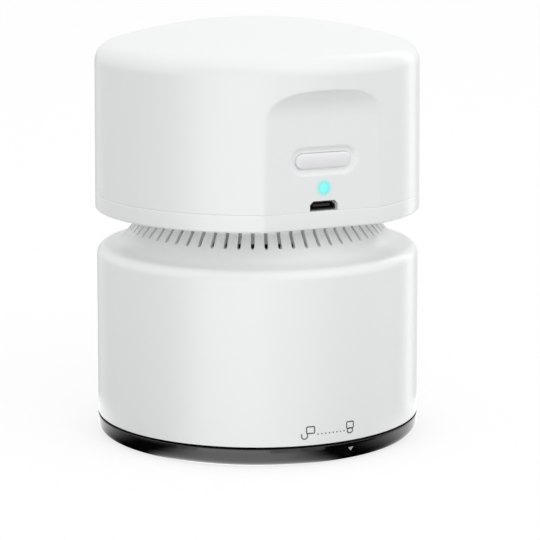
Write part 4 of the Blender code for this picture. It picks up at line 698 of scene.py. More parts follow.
# By material slot: name, colour, roughness, grain in metres, bump, and what else differs.
# A colour is a hex code or the name of one of the colours that a user may change.
FINISHES = {
    # White ABS of the shells
    "white_shell": ("moulded_white_abs", "white", 0.30, MOULD_GRAIN, MOULD_BUMP, MOULDED),
    # Black ABS of the ring, from a mirror-polished mould
    "black_ring": ("piano_black_abs", "black", 0.10, MOULD_GRAIN, MOULD_BUMP, MOULDED),
    # White ABS of the button, a little glossier than the shells
    "button_white": ("moulded_button_abs", "button", 0.20, MOULD_GRAIN, MOULD_BUMP, MOULDED),
    # Clear acrylic full of the lamp's cyan light, almost white in its middle
    "lamp_lens": ("lit_acrylic", "lamp", 0.15, 0.0004, 0.02, {"Emission_Strength": 0.75}),
    # Light grey ABS from a spark-eroded mould: an even, very fine matt grain
    "grey_moulding": ("eroded_grey_abs", "grey", 0.42, 0.0004, 0.10, {}),
    # Black ABS from the same kind of mould
    "black_moulding": ("eroded_black_abs", "#1B1C1E", 0.45, 0.0004, 0.10, {}),
    # Nickel-plated drawn steel: soft streaks along the can
    "motor_steel": ("drawn_nickel_steel", "#B4B7BB", 0.30, 0.0006, 0.06, {
        "metallic": 1.0, "stretch": (1, 1, 0.08), "spread": 0.08,
    }),
    # Ground shaft steel: bright, with rings too fine to count
    "shaft_steel": ("ground_shaft_steel", "#CDD0D4", 0.16, 0.0003, 0.05, {
        "metallic": 1.0, "stretch": (0.1, 0.1, 1), "spread": 0.05,
    }),
    # Zinc-plated screws: dull bright metal with a cloudy tone
    "screw_steel": ("zinc_plated_screws", "#A3A6AA", 0.34, 0.0005, 0.08, {
        "metallic": 1.0, "shade": 0.15, "spread": 0.08,
    }),
    # Natural nylon: creamy, waxy and slightly see-through
    "end_cap_nylon": ("natural_nylon", "#E4E2DA", 0.45, 0.0008, 0.05, {"Subsurface_Weight": 0.1}),
    # Shrunk PVC film: glossy with slack wrinkles
    "cell_sleeve": ("shrunk_pvc_sleeve", "#3E7FB5", 0.28, 0.0030, 0.12, {"spread": 0.06}),
    # Solder mask on glass laminate: green lacquer over the weave
    "board_laminate": ("masked_laminate", "#1F6B45", 0.35, 0.0007, 0.15, {"shade": 0.2}),
    # Moulded epoxy: black with the dull grain of its filler
    "chip_epoxy": ("filled_epoxy", "#1B1B1D", 0.55, 0.0002, 0.12, {}),
    # Tin-plated stamped steel: bright and a little soft
    "socket_tin": ("tin_plated_steel", "#D4D6D8", 0.22, 0.0004, 0.04, {
        "metallic": 1.0, "spread": 0.05,
    }),
    # Open-cell foam: deep pores and no gloss
    "foam": ("open_cell_foam", "#3B3D40", 0.95, 0.0009, 0.8, {"shade": 0.5}),
    # Filter paper: matted fibres
    "filter_paper": ("pleated_filter_paper", "#EFEDE6", 0.90, 0.0005, 0.35, {"shade": 0.08}),
    # Nitrile rubber: dull black with a faint bloom
    "seal_rubber": ("nitrile_rubber", "#1C1D1F", 0.62, 0.0006, 0.10, {"shade": 0.2}),
    # Extruded nylon filament: dark with a soft shine along each strand
    "bristle_nylon": ("nylon_filament", "#242528", 0.40, 0.0004, 0.05, {"shade": 0.3}),
    # Silicone lead insulation, soft to the light
    "lead_red": ("silicone_lead_red", "#B3242B", 0.48, 0.0005, 0.06, {}),
    "lead_black": ("silicone_lead_black", "#17181A", 0.48, 0.0005, 0.06, {}),
    # Pad-printed inks: flat, thin and a little duller than the plastic round them
    "ink": ("pad_printed_ink", "ink", 0.45, 0.0002, 0.1, {}),
    "pale_ink": ("pad_printed_pale_ink", "pale_ink", 0.4, 0.0002, 0.1, {}),
}

# Painted lamp glow on the cover: where it starts to fade and ends, its cyan and its light
PAINTED_GLOW_REACH = (0.0006, 0.0027)
PAINTED_GLOW_TINT = "#66EDE8"
PAINTED_GLOW = "#1B6468"


def finish(name, base, roughness, grain, bump, metallic=0.0, spread=0.03, shade=0.03,
           stretch=(1, 1, 1), **sockets):
    """A finish: bump of one grain, in metres, and gloss and shade that vary broadly."""
    found = bpy.data.materials.get(name)
    if found:
        return found
    base = linear(base) if base.startswith("#") else getattr(sizes("finishes"), base)[:]
    made = bpy.data.materials.new(name)
    made.use_nodes = True
    tree = made.node_tree
    shader = tree.nodes["Principled BSDF"]
    place = node(tree, "ShaderNodeTexCoord").outputs["Object"]
    fine = node(tree, "ShaderNodeMapping", {"Vector": place, "Scale": [s / grain for s in stretch]})
    fine = node(tree, "ShaderNodeTexNoise", {"Vector": fine, "Scale": 1.0, "Detail": GRAIN_DETAIL})
    broad = node(tree, "ShaderNodeTexNoise", {
        "Vector": place, "Scale": BROAD_SCALE, "Detail": BROAD_DETAIL,
    })
    gloss = node(tree, "ShaderNodeMapRange", {
        "Value": broad, "To Min": max(roughness - spread, LEAST_ROUGHNESS),
        "To Max": roughness + spread,
    })
    tone = node(tree, "ShaderNodeMix", {
        0: broad, 6: base, 7: [channel * (1 - shade) for channel in base[:3]] + [1.0],
    }, data_type="RGBA")
    lift = node(tree, "ShaderNodeBump", {"Height": fine, "Strength": bump, "Distance": grain})
    tree.links.new(gloss.outputs[0], shader.inputs["Roughness"])
    tree.links.new(tone.outputs[2], shader.inputs["Base Color"])
    tree.links.new(lift.outputs[0], shader.inputs["Normal"])
    shader.inputs["Metallic"].default_value = metallic
    if "Emission_Strength" in sockets:
        shader.inputs["Emission Color"].default_value = base
    for socket, value in sockets.items():
        shader.inputs[socket.replace("_", " ")].default_value = value
    return made


def slot_finish(slot):
    """The finish of a material slot, or of an ink."""
    name, base, roughness, grain, bump, more = FINISHES[slot]
    return finish(name, base, roughness, grain, bump, **more)


def painted_glow_abs():
    """The cover's ABS with a painted glow: cyan and giving light a few millimetres round the lamp.
    """
    _, base, roughness, grain, bump, more = FINISHES["white_shell"]
    made = finish("moulded_white_abs_lit", base, roughness, grain, bump, **more)
    tree = made.node_tree
    shader = tree.nodes["Principled BSDF"]
    centre = middle_of("light_pipe")
    centre.y = PIPE_LOW.y
    place = node(tree, "ShaderNodeTexCoord").outputs["Object"]
    away = node(tree, "ShaderNodeVectorMath", {0: place, 1: centre}, operation="DISTANCE")
    # Painted glow: near the lamp the white turns cyan and the cover gives light, fading with
    # distance
    near = node(tree, "ShaderNodeMapRange", {
        "Value": away.outputs["Value"], "From Min": PAINTED_GLOW_REACH[0],
        "From Max": PAINTED_GLOW_REACH[1], "To Min": 1.0, "To Max": 0.0,
    }, interpolation_type="SMOOTHSTEP")
    white = shader.inputs["Base Color"].links[0].from_socket
    painted_tint = node(tree, "ShaderNodeMix", {0: near, 6: white, 7: linear(PAINTED_GLOW_TINT)}, data_type="RGBA")
    tree.links.new(painted_tint.outputs[2], shader.inputs["Base Color"])
    tree.links.new(near.outputs[0], shader.inputs["Emission Strength"])
    shader.inputs["Emission Color"].default_value = linear(PAINTED_GLOW)
    return made


# Pieces


def facet_depth(height, inset):
    """Distance of the facet from the axis at a height, moved inward by an inset."""
    housing = sizes("housing")
    roof = COVER_LOW.z + housing.roof_foot + inset
    face = housing.facet_distance - inset
    share = (height - roof) / housing.roof_height
    if share <= 0:
        return face
    if share >= 1:
        return None
    return face + housing.roof_depth * (1 - math.sqrt(1 - share * share))


def flattened(azimuth, radius, height, inset):
    """Radius where the round wall gives way to the facet, with a soft edge."""
    depth = facet_depth(height, inset)
    facing = math.cos(azimuth)
    if depth is None or facing < FACET_FACING:
        return radius
    edge = sizes("housing").facet_edge
    flat = depth / facing
    blend = max(edge - abs(radius - flat), 0) / edge
    return min(radius, flat) - blend * blend * edge / 4


def dish(across, up):
    """Depth of the dish round the button, at a place counted from its middle."""
    button = sizes("button")
    middle = (button.width - button.height) / 2
    away = math.hypot(max(abs(across) - middle, 0), up) - button.height / 2
    share = (button.dish_margin - away) / (button.dish_margin - button.dish_floor)
    share = min(max(share, 0), 1)
    return button.dish_depth * share * share * (3 - 2 * share)


def facet_azimuths():
    """Azimuths of the mesh columns: fine and even on the facet, coarser round the back."""
    housing = sizes("housing")
    half = round(housing.facet_reach / housing.facet_pitch)
    front = [
        math.atan(index * housing.facet_pitch / housing.facet_distance)
        for index in range(-half, half + 1)
    ]
    gap = math.tau - 2 * front[-1]
    return front + [front[-1] + gap * index / BACK_COLUMNS for index in range(1, BACK_COLUMNS)]


def dome_profile(inset, steps, fillet_steps, pitch):
    """The cover's side from the crown down, moved inward by an inset."""
    housing = sizes("housing")
    fillet = housing.crown_fillet - inset
    crown = housing.crown_radius - inset
    side = COVER_HIGH.x - housing.draft - inset
    foot = COVER_HIGH.x - inset
    centre = side - fillet
    hub = COVER_HIGH.z - housing.crown_radius
    rise = math.sqrt((crown - fillet) ** 2 - centre ** 2)
    tangent = math.atan2(centre, rise)
    points = [(0.0, hub + crown)]
    for step in range(1, steps + 1):
        turn = tangent * step / steps
        points.append((crown * math.sin(turn), hub + crown * math.cos(turn)))
    for step in range(1, fillet_steps + 1):
        turn = tangent + (RIGHT_ANGLE - tangent) * step / fillet_steps
        points.append((centre + fillet * math.sin(turn), hub + rise + fillet * math.cos(turn)))
    top = hub + rise
    low = COVER_LOW.z + (0 if inset else housing.seam_edge)
    rows = max(2, round((top - low) / pitch))
    for row in range(1, rows + 1):
        height = top + (low - top) * row / rows
        share = (top - height) / (top - COVER_LOW.z)
        points.append((side + (foot - side) * share, height))
    return points


def button_middle():
    """Middle of the button's face, which lies a little below the solid's."""
    middle = middle_of("power_button")
    middle.z -= sizes("button").drop
    return middle


def build_cover():
    """Build the domed cover with its facet, the dish round the button and the openings."""
    housing = sizes("housing")
    button = sizes("button")
    middle = button_middle()
    outside = dome_profile(0.0, *OUTER_STEPS, housing.facet_pitch)
    outside.append((COVER_HIGH.x - housing.seam_edge, COVER_LOW.z))
    inside = dome_profile(housing.wall, *INNER_STEPS, INNER_PITCH)[::-1]
    insets = {point: 0.0 for point in outside} | {point: housing.wall for point in inside}

    def bend(azimuth, across, height):
        inset = insets[(across, height)]
        spot = around(azimuth, flattened(azimuth, across, height, inset), height)
        if not inset and abs(azimuth) < DISH_TURN:
            spot.y += dish(spot.x, height - middle.z)
        return spot

    cover = piece("cover", lathe, outside + inside, facet_azimuths(), bend)
    socket_middle = middle_of("charging_socket").z
    socket = socket_outline(button.seam)
    # The socket's opening runs out through the cover's foot
    low = COVER_LOW.z - OVERRUN - socket_middle
    socket[0] = (socket[0][0], low)
    socket[-1] = (socket[-1][0], low)
    window = 2 * button.pipe_radius

    def openings(work):
        for outline, height in (
            (stadium(button.width, button.height, button.seam), middle.z),
            (stadium(window, window, button.seam / 2), middle_of("light_pipe").z),
            (socket, socket_middle),
        ):
            loft(work, [
                standing(outline, depth - housing.facet_distance, height)
                for depth in (-OVERRUN, 2 * OVERRUN)
            ])

    carve(cover, piece("cover_openings", openings))
    # The cover's finish paints the lamp's glow round the lamp window
    finished(cover, "housing", "white_shell", "top_cover", material=painted_glow_abs())


def build_band():
    """Build the band and deck under the cover, with the lip, the posts and the bosses."""
    housing = sizes("housing")
    outer = BAND_HIGH.x
    top = COVER_LOW.z - GAP
    foot = BAND_LOW.z - housing.band_drop
    deck = BAND_LOW.z + housing.deck_rise
    rim = outer - housing.band_rim
    inner = COVER_HIGH.x - housing.draft - housing.wall - GAP
    lip_inner = inner - housing.lip_wall
    sill = COVER_LOW.z - housing.seam_gap
    seam = COVER_HIGH.x - housing.seam_depth
    profile = filleted([
        (inner, sill, 0.0), (seam, sill, 0.0), (seam, top, 0.0), (outer, top, housing.seam_edge),
        (outer, foot, housing.band_fillet), (rim, foot, SMALL_EDGE),
        (rim, deck, 0.0), (housing.deck_hole, deck, 0.0),
        (housing.deck_hole, deck + housing.deck, 0.0),
        (lip_inner, deck + housing.deck, 0.0), (lip_inner, sill, 0.0),
    ])

    def bend(azimuth, across, height):
        inset = outer - across
        if inset > housing.band_rim + housing.lip_wall + housing.wall:
            return around(azimuth, across, height)
        return around(azimuth, flattened(azimuth, across, height, inset), height)

    lip_top = COVER_LOW.z + housing.lip_height
    lip = piece("lip", lathe, [
        (inner, lip_top), (inner, top - EMBED), (lip_inner, top - EMBED), (lip_inner, lip_top),
    ], evenly(ROUND_COLUMNS))
    clear = housing.facet_distance - housing.wall - GAP
    lip_front = piece(
        "lip_front", block, (-outer, -outer - OVERRUN, foot), (outer, -clear, COVER_HIGH.z),
    )
    band = piece("band", lathe, profile, facet_azimuths(), bend)
    carve(band, carve(lip, lip_front), operation="UNION")
    carve(band, piece("deck_posts", deck_posts), operation="UNION")
    carve(band, piece("deck_holes", deck_holes))
    finished(band, "housing", "white_shell", "upper_base")


def deck_top():
    """Height of the deck's upper face."""
    return BAND_LOW.z + sizes("housing").deck_rise + sizes("housing").deck


def deck_posts(work):
    """Two posts behind the board and two bosses under the cell's cradle."""
    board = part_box("circuit_board")[1]
    back = board.y + GAP
    foot = deck_top() - EMBED
    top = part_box("battery_cradle")[0].z - GAP
    for side in (-1, 1):
        post = side * middle_of("board_screw_2").x
        block(work, (post - POST_HALF, back, foot), (post + POST_HALF, back + POST_DEPTH, board.z))
        boss = side * middle_of("cradle_screw_2").x
        rod(work, BOSS_RADIUS, Vector((boss, 0, foot)), Vector((boss, 0, top)))


def deck_holes(work):
    """Screw holes in the posts, the bosses and the deck."""
    deck = deck_top()
    screw = middle_of("board_screw_2")
    reach = Vector((0, 0, PILOT_REACH))
    for side in (-1, 1):
        pilot = rod(work, PILOT_RADIUS, -reach, reach, HOLE_STEPS)
        place = (side * screw.x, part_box("circuit_board")[1].y + POST_HALF, screw.z)
        turn = Matrix.Translation(place) @ Matrix.Rotation(RIGHT_ANGLE, 4, "X")
        bmesh.ops.transform(work, matrix=turn, verts=pilot)
        spot = Vector((side * middle_of("cradle_screw_2").x, 0, deck))
        rod(work, PILOT_RADIUS, spot, spot + Vector((0, 0, PILOT_DEPTH)), HOLE_STEPS)
    for azimuth in evenly(SHROUD_HOLE_COUNT, RIGHT_ANGLE):
        spot = around(azimuth, middle_of("post_screw_1").x, deck)
        rod(work, SHROUD_HOLE, spot - reach, spot + Vector((0, 0, OVERRUN)), HOLE_STEPS)


def build_body():
    """Build the body wall, shoulder and slotted neck, with the bayonet's ledges inside."""
    body = sizes("body")
    base = sizes("base")
    foot_radius = BODY_HIGH.x
    top_radius = foot_radius - body.draft
    foot = BODY_LOW.z
    edge = foot + body.wall_height
    corner = edge + body.shoulder_rise
    shoulder = edge + body.shoulder_lift
    waist = top_radius - body.shoulder_width
    neck = waist - body.waist_width
    neck_foot = corner + body.neck_rise
    neck_top = BODY_HIGH.z
    inner = top_radius - body.wall
    thin = body.slot_wall
    shift = thin * math.tan(math.atan2(body.neck_rise, body.waist_width) / 2)
    profile = filleted([
        (neck, neck_top, 0.0), (neck, neck_foot, NECK_EDGE), (waist, shoulder, body.waist_fillet),
        (top_radius, edge + body.edge_lift, body.edge_fillet), (foot_radius, foot, SMALL_EDGE),
        (foot_radius - body.wall, foot, 0.0), (inner, edge - body.step_drop, 0.0),
        (inner - body.step_width, edge - body.step_drop, 0.0),
        (waist - shift, shoulder - thin, 0.0),
        (neck - thin, neck_foot - thin / 2, 0.0), (neck - thin, neck_top, 0.0),
    ])
    shell = piece("body", lathe, profile, evenly(ROUND_COLUMNS))

    # The outline of a slot: a flat head and a half-round foot
    low = corner + body.slot_foot
    high = neck_top - body.slot_drop
    radius = body.slot_width / 2
    outline = [(radius, high), (-radius, high)]
    for step in range(ARC_STEPS + 1):
        turn = math.pi * (1 + step / ARC_STEPS)
        outline.append((radius * math.cos(turn), low + radius + radius * math.sin(turn)))
    half_turn = math.pi / body.slot_count
    carve(shell, repeated("slots", body.slot_count, half_turn, loft, [
        standing(outline, SLOT_START - waist, 0), standing(outline, thin + SLOT_END - neck, 0),
    ]))

    # The liner follows the waist's slant below the neck
    throat = neck - body.groove
    hidden = neck - thin - EMBED / 2
    bend_height = neck_foot - body.groove / 2
    floor = low + body.slot_opening
    flare = (bend_height - floor) * body.waist_width / (neck_foot - shoulder)
    liner = piece("vent_liner", lathe, [
        (throat, neck_top - EMBED), (hidden, neck_top - EMBED), (hidden, bend_height),
        (hidden + flare, floor), (throat + flare, floor), (throat, bend_height),
    ], evenly(ROUND_COLUMNS))
    finished(liner, "housing", "grey_moulding")

    wall = inner + body.wall / 2
    collar = inner - base.lug_reach + GAP
    ledge_low = foot + body.ledge_rise
    ledge_high = ledge_low + body.ledge_height
    start = -body.ledge_angle / 2

    def ledge(work):
        arc_block(work, collar, wall, ledge_low, ledge_high, start,
                  body.ledge_angle + body.stop_angle)
        arc_block(work, collar, wall, ledge_high - EMBED, ledge_high + GAP + base.lug_height,
                  -start, body.stop_angle, STOP_STEPS)

    joined(shell, repeated("ledges", base.lug_count, base.lug_first, ledge))
    finished(shell, "housing", "white_shell", "body_shell")


def build_ring():
    """Build the black ring with its foot, the recessed plate, the collar and the lugs."""
    base = sizes("base")
    body = sizes("body")
    outer = RING_HIGH.x
    foot = outer - base.foot_undercut
    inner = BODY_HIGH.x - body.draft - body.wall
    collar = inner - base.lug_reach
    collar_inner = collar - base.collar_wall
    recess = foot - base.foot_width
    plate_top = base.recess + base.plate
    hole = base.duct_bore + base.duct_wall + GAP
    rim = base.ring_height - base.shadow_gap
    rounding = []
    for step in range(ARC_STEPS + 1):
        turn = RIGHT_ANGLE * step / ARC_STEPS
        height = base.round_height * (1 - math.sin(turn))
        rounding.append((foot + base.foot_undercut * math.cos(turn), height, 0.0))
    profile = filleted([
        (collar, RING_HIGH.z, 0.0), (collar, rim, 0.0), (outer, rim, SMALL_EDGE), *rounding,
        (recess, 0.0, SMALL_EDGE), (recess, base.recess, SMALL_EDGE), (hole, base.recess, 0.0),
        (hole, plate_top, 0.0), (collar_inner, plate_top, 0.0), (collar_inner, RING_HIGH.z, 0.0),
    ], FOOT_FILLET_STEPS)
    ring = piece("ring", lathe, profile, evenly(ROUND_COLUMNS))

    middle = foot - base.brush_inset
    half = base.brush_width / 2 + GAP
    spare = GAP / middle
    carve(ring, repeated(
        "pockets", base.brush_count, base.brush_first, arc_block,
        middle - half, middle + half, base.recess - OVERRUN, base.recess + base.brush_pocket,
        -base.brush_angle / 2 - spare, base.brush_angle + 2 * spare, LONG_ARC_STEPS,
    ))
    joined(ring, repeated(
        "lugs", base.lug_count, base.lug_first, arc_block,
        collar - base.collar_wall / 2, inner - GAP, RING_HIGH.z - base.lug_height,
        RING_HIGH.z - GAP, -base.lug_angle / 2, base.lug_angle,
    ))
    finished(ring, "base", "black_ring", "base_ring")


def build_duct():
    """Build the intake tube with its flange, and a cap on legs over its mouth."""
    base = sizes("base")
    bore = base.duct_bore
    wall = base.duct_wall
    outer = bore + wall
    flange = DUCT_HIGH.x
    flange_foot = base.recess + base.plate + GAP
    flange_top = flange_foot + base.duct_flange
    cap_foot = DUCT_HIGH.z - base.cap_rise - wall
    top = cap_foot - base.cap_gap
    rim = outer + CAP_REACH
    tube = filleted([
        (outer, top, 0.0), (outer, flange_top, SOFT_EDGE), (flange, flange_top, FLANGE_EDGE),
        (flange, flange_foot, 0.0), (outer, flange_foot, 0.0), (outer, base.recess, SMALL_EDGE),
        (bore, base.recess, SOFT_EDGE), (bore, top - wall, SOFT_EDGE), (bore + wall / 2, top, 0.0),
    ], DUCT_STEPS)
    rise = base.cap_rise * CAP_BEND_SHARE
    cap = filleted([
        (0.0, DUCT_HIGH.z, 0.0), (rim / 2, cap_foot + wall + rise, CAP_BEND),
        (rim, cap_foot + wall, SOFT_EDGE), (rim, cap_foot, SOFT_EDGE),
        (rim / 2, cap_foot + rise, 0.0), (0.0, cap_foot + base.cap_rise, 0.0),
    ], DUCT_STEPS)
    legs = repeated(
        "legs", base.leg_count, 0.0, block,
        (-base.leg_width / 2, -outer, top - base.cap_gap),
        (base.leg_width / 2, -outer + wall, cap_foot + wall),
    )
    duct = piece("duct", lathe, tube, evenly(DUCT_COLUMNS))
    joined(duct, piece("duct_cap", lathe, cap, evenly(DUCT_COLUMNS)), legs)
    finished(duct, "base", "grey_moulding", "intake_duct")


def build_brushes():
    """Build the brush strips: curved backings full of fine strands that lean a little."""
    base = sizes("base")
    middle = RING_HIGH.x - base.foot_undercut - base.brush_inset
    half = base.brush_width / 2
    top = base.recess + base.brush_pocket - GAP
    foot = top - base.brush_back
    tree = bristles_tree()
    pitch = base.brush_width / base.strand_rows
    sweep = base.brush_angle * (1 - 1 / base.strand_columns)
    strips = []
    for index, turn in enumerate(evenly(base.brush_count, base.brush_first)):
        backing = piece(
            f"strip_{index + 1}", arc_block, middle - half, middle + half, foot, top,
            turn - base.brush_angle / 2, base.brush_angle, LONG_ARC_STEPS,
        )
        strips.append(grown(
            backing, tree, rows=base.strand_rows, columns=base.strand_columns, radius=middle,
            width=base.brush_width - pitch, middle=turn, sweep=sweep, scatter=pitch / 4,
            root_height=foot + EMBED, length=foot + EMBED - TIP_GAP,
            strand_radius=base.strand_radius, tip_radius=base.tip_radius, lean=base.strand_lean,
            seed=base.strand_seed + SEED_STEP * index, material=slot_finish("bristle_nylon"),
        ))
    brushes = joined(*strips)
    brushes.name = "brushes"
    nodes = [f"brush_strip_{index + 1}" for index in range(base.brush_count)]
    finished(brushes, "base", "bristle_nylon", *nodes)


def build_button():
    """Build the button with its rounded, slightly domed face and its hidden flange."""
    button = sizes("button")
    front = BUTTON_LOW.y
    back = BUTTON_HIGH.y
    edge = button.edge
    crown = front + button.dome
    # Each layer's depth, and how far its outline is grown
    rows = [
        (back, button.flange_margin), (back - button.flange, button.flange_margin),
        (back - button.flange, 0.0), (crown + edge, 0.0),
    ]
    for step in range(1, BUTTON_EDGE_STEPS + 1):
        turn = RIGHT_ANGLE * step / BUTTON_EDGE_STEPS
        rows.append((crown + edge * (1 - math.sin(turn)), -edge * (1 - math.cos(turn))))
    reach = button.height / 2 - edge
    for step in range(1, BUTTON_FACE_STEPS):
        share = step / BUTTON_FACE_STEPS
        rows.append((front + button.dome * (1 - share) ** 2, -edge - reach * share))
    layers = [
        standing(stadium(button.width, button.height, grow), depth, button_middle().z)
        for depth, grow in rows
    ]
    finished(piece("button", loft, layers), "button", "button_white", "power_button")


def build_lamp():
    """Build the light pipe with a softly domed window, and its flange behind the wall."""
    button = sizes("button")
    housing = sizes("housing")
    front = -PIPE_LOW.y
    back = -PIPE_HIGH.y
    radius = button.pipe_radius
    flange = housing.facet_distance - housing.wall - GAP
    profile = [
        (0.0, front), *((radius * share, front - drop) for share, drop in LAMP_DOME),
        (radius, flange), (button.pipe_flange, flange),
        (button.pipe_flange, flange - LAMP_FLANGE), (radius, flange - LAMP_FLANGE),
        (radius, back), (0.0, back),
    ]
    place = Matrix.Translation((0, 0, middle_of("light_pipe").z))
    stand = place @ Matrix.Rotation(RIGHT_ANGLE, 4, "X")
    pipe = piece("lamp_window", lathe, profile, evenly(LAMP_COLUMNS), stand=stand)
    finished(pipe, "housing", "lamp_lens", "light_pipe")


def socket_outline(margin):
    """Outline of the charging socket, wide side down, grown by a margin."""
    half = (SOCKET_HIGH.x - SOCKET_LOW.x) / 2 + margin
    top = (SOCKET_HIGH.z - SOCKET_LOW.z) / 2 + margin
    chamfer = sizes("button").socket_chamfer
    return [
        (half, -top), (half, top - chamfer), (half - chamfer, top),
        (-half + chamfer, top), (-half, top - chamfer), (-half, -top),
    ]


def build_socket():
    """Build the socket's metal shell, a black sleeve of painted shade in it, the tongue and its
    contacts.
    """
    button = sizes("button")
    front = SOCKET_LOW.y
    back = SOCKET_HIGH.y
    depth = TONGUE_HIGH.y + GAP
    wall = button.shell_wall

    def layers(rows):
        height = middle_of("charging_socket").z
        return [standing(socket_outline(grow), place, height) for grow, place in rows]

    shell = piece("socket_shell", loft, layers((
        (0.0, back), (0.0, front + wall / 2), (-wall / 3, front), (-2 * wall / 3, front),
        (-wall, front + wall / 2), (-wall, depth),
    )))
    finished(shell, "housing", "socket_tin", "charging_socket")

    # A black sleeve lines the metal shell: painted shade that keeps the socket's mouth dark. The
    # tongue is built with it.
    def tongue_and_shade_sleeve(work):
        near, far = (-wall * share for share in SHADE_SLEEVE_SHARES)
        loft(work, layers((
            (near, depth - SHADE_SLEEVE_INSET), (near, front + SHADE_SLEEVE_INSET),
            (far, front + SHADE_SLEEVE_INSET), (far, depth - SHADE_SLEEVE_FLOOR),
        )))
        block(work, TONGUE_LOW, TONGUE_HIGH)

    finished(piece("socket_insulator", tongue_and_shade_sleeve), "housing", "chip_epoxy", "socket_tongue")

    def contacts(work):
        pitch = (TONGUE_HIGH.x - TONGUE_LOW.x) / (button.contact_count + 1)
        for index in range(button.contact_count):
            middle = TONGUE_LOW.x + pitch * (index + 1)
            block(
                work,
                (middle - pitch / 4, TONGUE_LOW.y + CONTACT_START, TONGUE_LOW.z - CONTACT_PROUD),
                (middle + pitch / 4, TONGUE_HIGH.y - CONTACT_END, TONGUE_LOW.z + CONTACT_DEPTH),
            )

    finished(piece("socket_contacts", contacts), "housing", "socket_tin")


# Printed signs

# Their places: azimuths in degrees and heights in metres. A lock's body is given by its sides,
# its foot and its top, and a bow as the function below takes it.
SHUT_LOCK = (7.15, 9.95, 0.0084, 0.0101)
SHUT_LOOP = ((8.53, 0.00783), 1.1, 0.00066, 0, 350, 34)
OPEN_LOCK = (-8.05, -5.15, 0.0083, 0.0100)
OPEN_LOOP = ((-8.75, 0.0076), 1.05, 0.00066, 180, 360)
OPEN_LOOP_ENDS = ((-9.8, 0.00827), (-7.7, 0.0083))
RING_ARROW = ((7.75, 0.0035), (9.95, 0.0035), (8.8, 0.0026))


def print_line(work, points, width, proud, radius, closed=False):
    """A thin raised line of ink along azimuths and heights on a round wall."""
    flat = [Vector((math.radians(across) * radius, height)) for across, height in points]
    if closed:
        flat.append(flat[0])
    path = []
    for start, end in zip(flat, flat[1:]):
        steps = max(1, math.ceil((end - start).length / PRINT_STEP))
        path += [start.lerp(end, step / steps) for step in range(steps)]
    if not closed:
        path.append(flat[-1])
    count = len(path)
    rings = []
    for index, here in enumerate(path):
        before = path[index - 1] if index or closed else here
        after = path[(index + 1) % count] if index < count - 1 or closed else here
        arriving = (here - before).normalized()
        leaving = (after - here).normalized()
        along = (arriving + leaving).normalized()
        side = Vector((-along.y, along.x))
        straight = leaving if leaving.length else arriving
        share = max(side.dot(Vector((-straight.y, straight.x))), PRINT_CORNER_SHARE)
        reach = width / 2 / share
        ring = []
        for offset, level in ((1, proud), (-1, proud), (-1, -2 * proud), (1, -2 * proud)):
            spot = here + side * reach * offset
            ring.append(work.verts.new(around(spot.x / radius, radius + level, spot.y)))
        rings.append(ring)
    pairs = list(zip(rings, rings[1:]))
    if closed:
        pairs.append((rings[-1], rings[0]))
    else:
        work.faces.new(rings[0])
        work.faces.new(rings[-1][::-1])
    for first, second in pairs:
        for corner in range(4):
            after = (corner + 1) % 4
            work.faces.new((first[corner], first[after], second[after], second[corner]))


def print_area(work, outline, proud, radius):
    """A small filled sign of ink, given by azimuths and heights on a round wall."""
    loft(work, [
        [around(math.radians(across), radius + level, height) for across, height in outline]
        for level in (-2 * proud, proud)
    ])


def bow(centre, across, up, start, end, steps=BOW_STEPS):
    """Points of a bow given by its middle, its half sizes and the degrees it runs through."""
    points = []
    for step in range(steps + 1):
        turn = math.radians(start + (end - start) * step / steps)
        points.append((centre[0] + across * math.cos(turn), centre[1] + up * math.sin(turn)))
    return points


def lock_outline(left, right, low, high, radius):
    """Outline of a lock's body with round corners, on a wall of some radius."""
    corner = sizes("signs").corner
    reach = math.degrees(corner / radius)
    points = []
    for across, height, start in (
        (right - reach, high - corner, 0), (left + reach, high - corner, 90),
        (left + reach, low + corner, 180), (right - reach, low + corner, 270),
    ):
        points += bow((across, height), reach, corner, start, start + 90, LOCK_CORNER_STEPS)
    return points


def build_signs():
    """Print the lock signs on the body's wall, dots between them and a mark on the ring."""
    body = sizes("body")
    signs = sizes("signs")
    proud = signs.proud
    rise = signs.dots_height - BODY_LOW.z
    radius = BODY_HIGH.x - body.draft * rise / body.wall_height

    def locks(work):
        for outline in (
            lock_outline(*SHUT_LOCK, radius), lock_outline(*OPEN_LOCK, radius), bow(*SHUT_LOOP),
        ):
            print_line(work, outline, signs.stroke, proud, radius, closed=True)
        start, end = OPEN_LOOP_ENDS
        print_line(work, [start, *bow(*OPEN_LOOP), end], signs.stroke, proud, radius)

    across = math.degrees(signs.dot_radius / radius)
    last = 360 - 360 / DOT_CORNERS
    dot = bow((0, signs.dots_height), across, signs.dot_radius, 0, last, DOT_CORNERS - 1)
    between = (signs.dots_last - signs.dots_first) / (signs.dot_count - 1)
    dots = repeated(
        "dots", signs.dot_count, signs.dots_first, print_area, dot, proud, radius,
        between=between,
    )
    lock_signs = joined(piece("lock_signs", locks), dots)
    finished(lock_signs, "housing", "black_moulding", material=slot_finish("ink"))
    mark = piece("ring_mark", print_area, RING_ARROW, proud, RING_HIGH.x)
    finished(mark, "base", "grey_moulding", material=slot_finish("pale_ink"))


def dress_solids():
    """Give every solid that still shows its finish, through its own material slots."""
    for part in frame["record"]["subparts"]:
        item = frame["nodes"][part["node"]]
        if item.hide_render:
            continue
        if not item.material_slots:
            item.data.materials.append(None)
        for slot in item.material_slots:
            slot.link = "OBJECT"
            slot.material = slot_finish(part["material_slot"])


# Stage

# The camera's lens and film in millimetres, how far it sees, and the height that the soft boxes
# face
LENS = 163.2
FILM_WIDTH = 36.0
CLIP_END = 50.0
AIM_HEIGHT = 0.055

# Strengths of the world's light and of the floor's glow, the glow's share of the floor, and the
# floor's colour as the object and as the camera sees it
WHITE = (1, 1, 1, 1)
WORLD_STRENGTH = 0.88
FLOOR_GLOW = 1.03
FLOOR_GLOW_SHARE = 0.74
FLOOR_GREY = "#CACACA"
FLOOR_WHITE = "#FAFAFA"

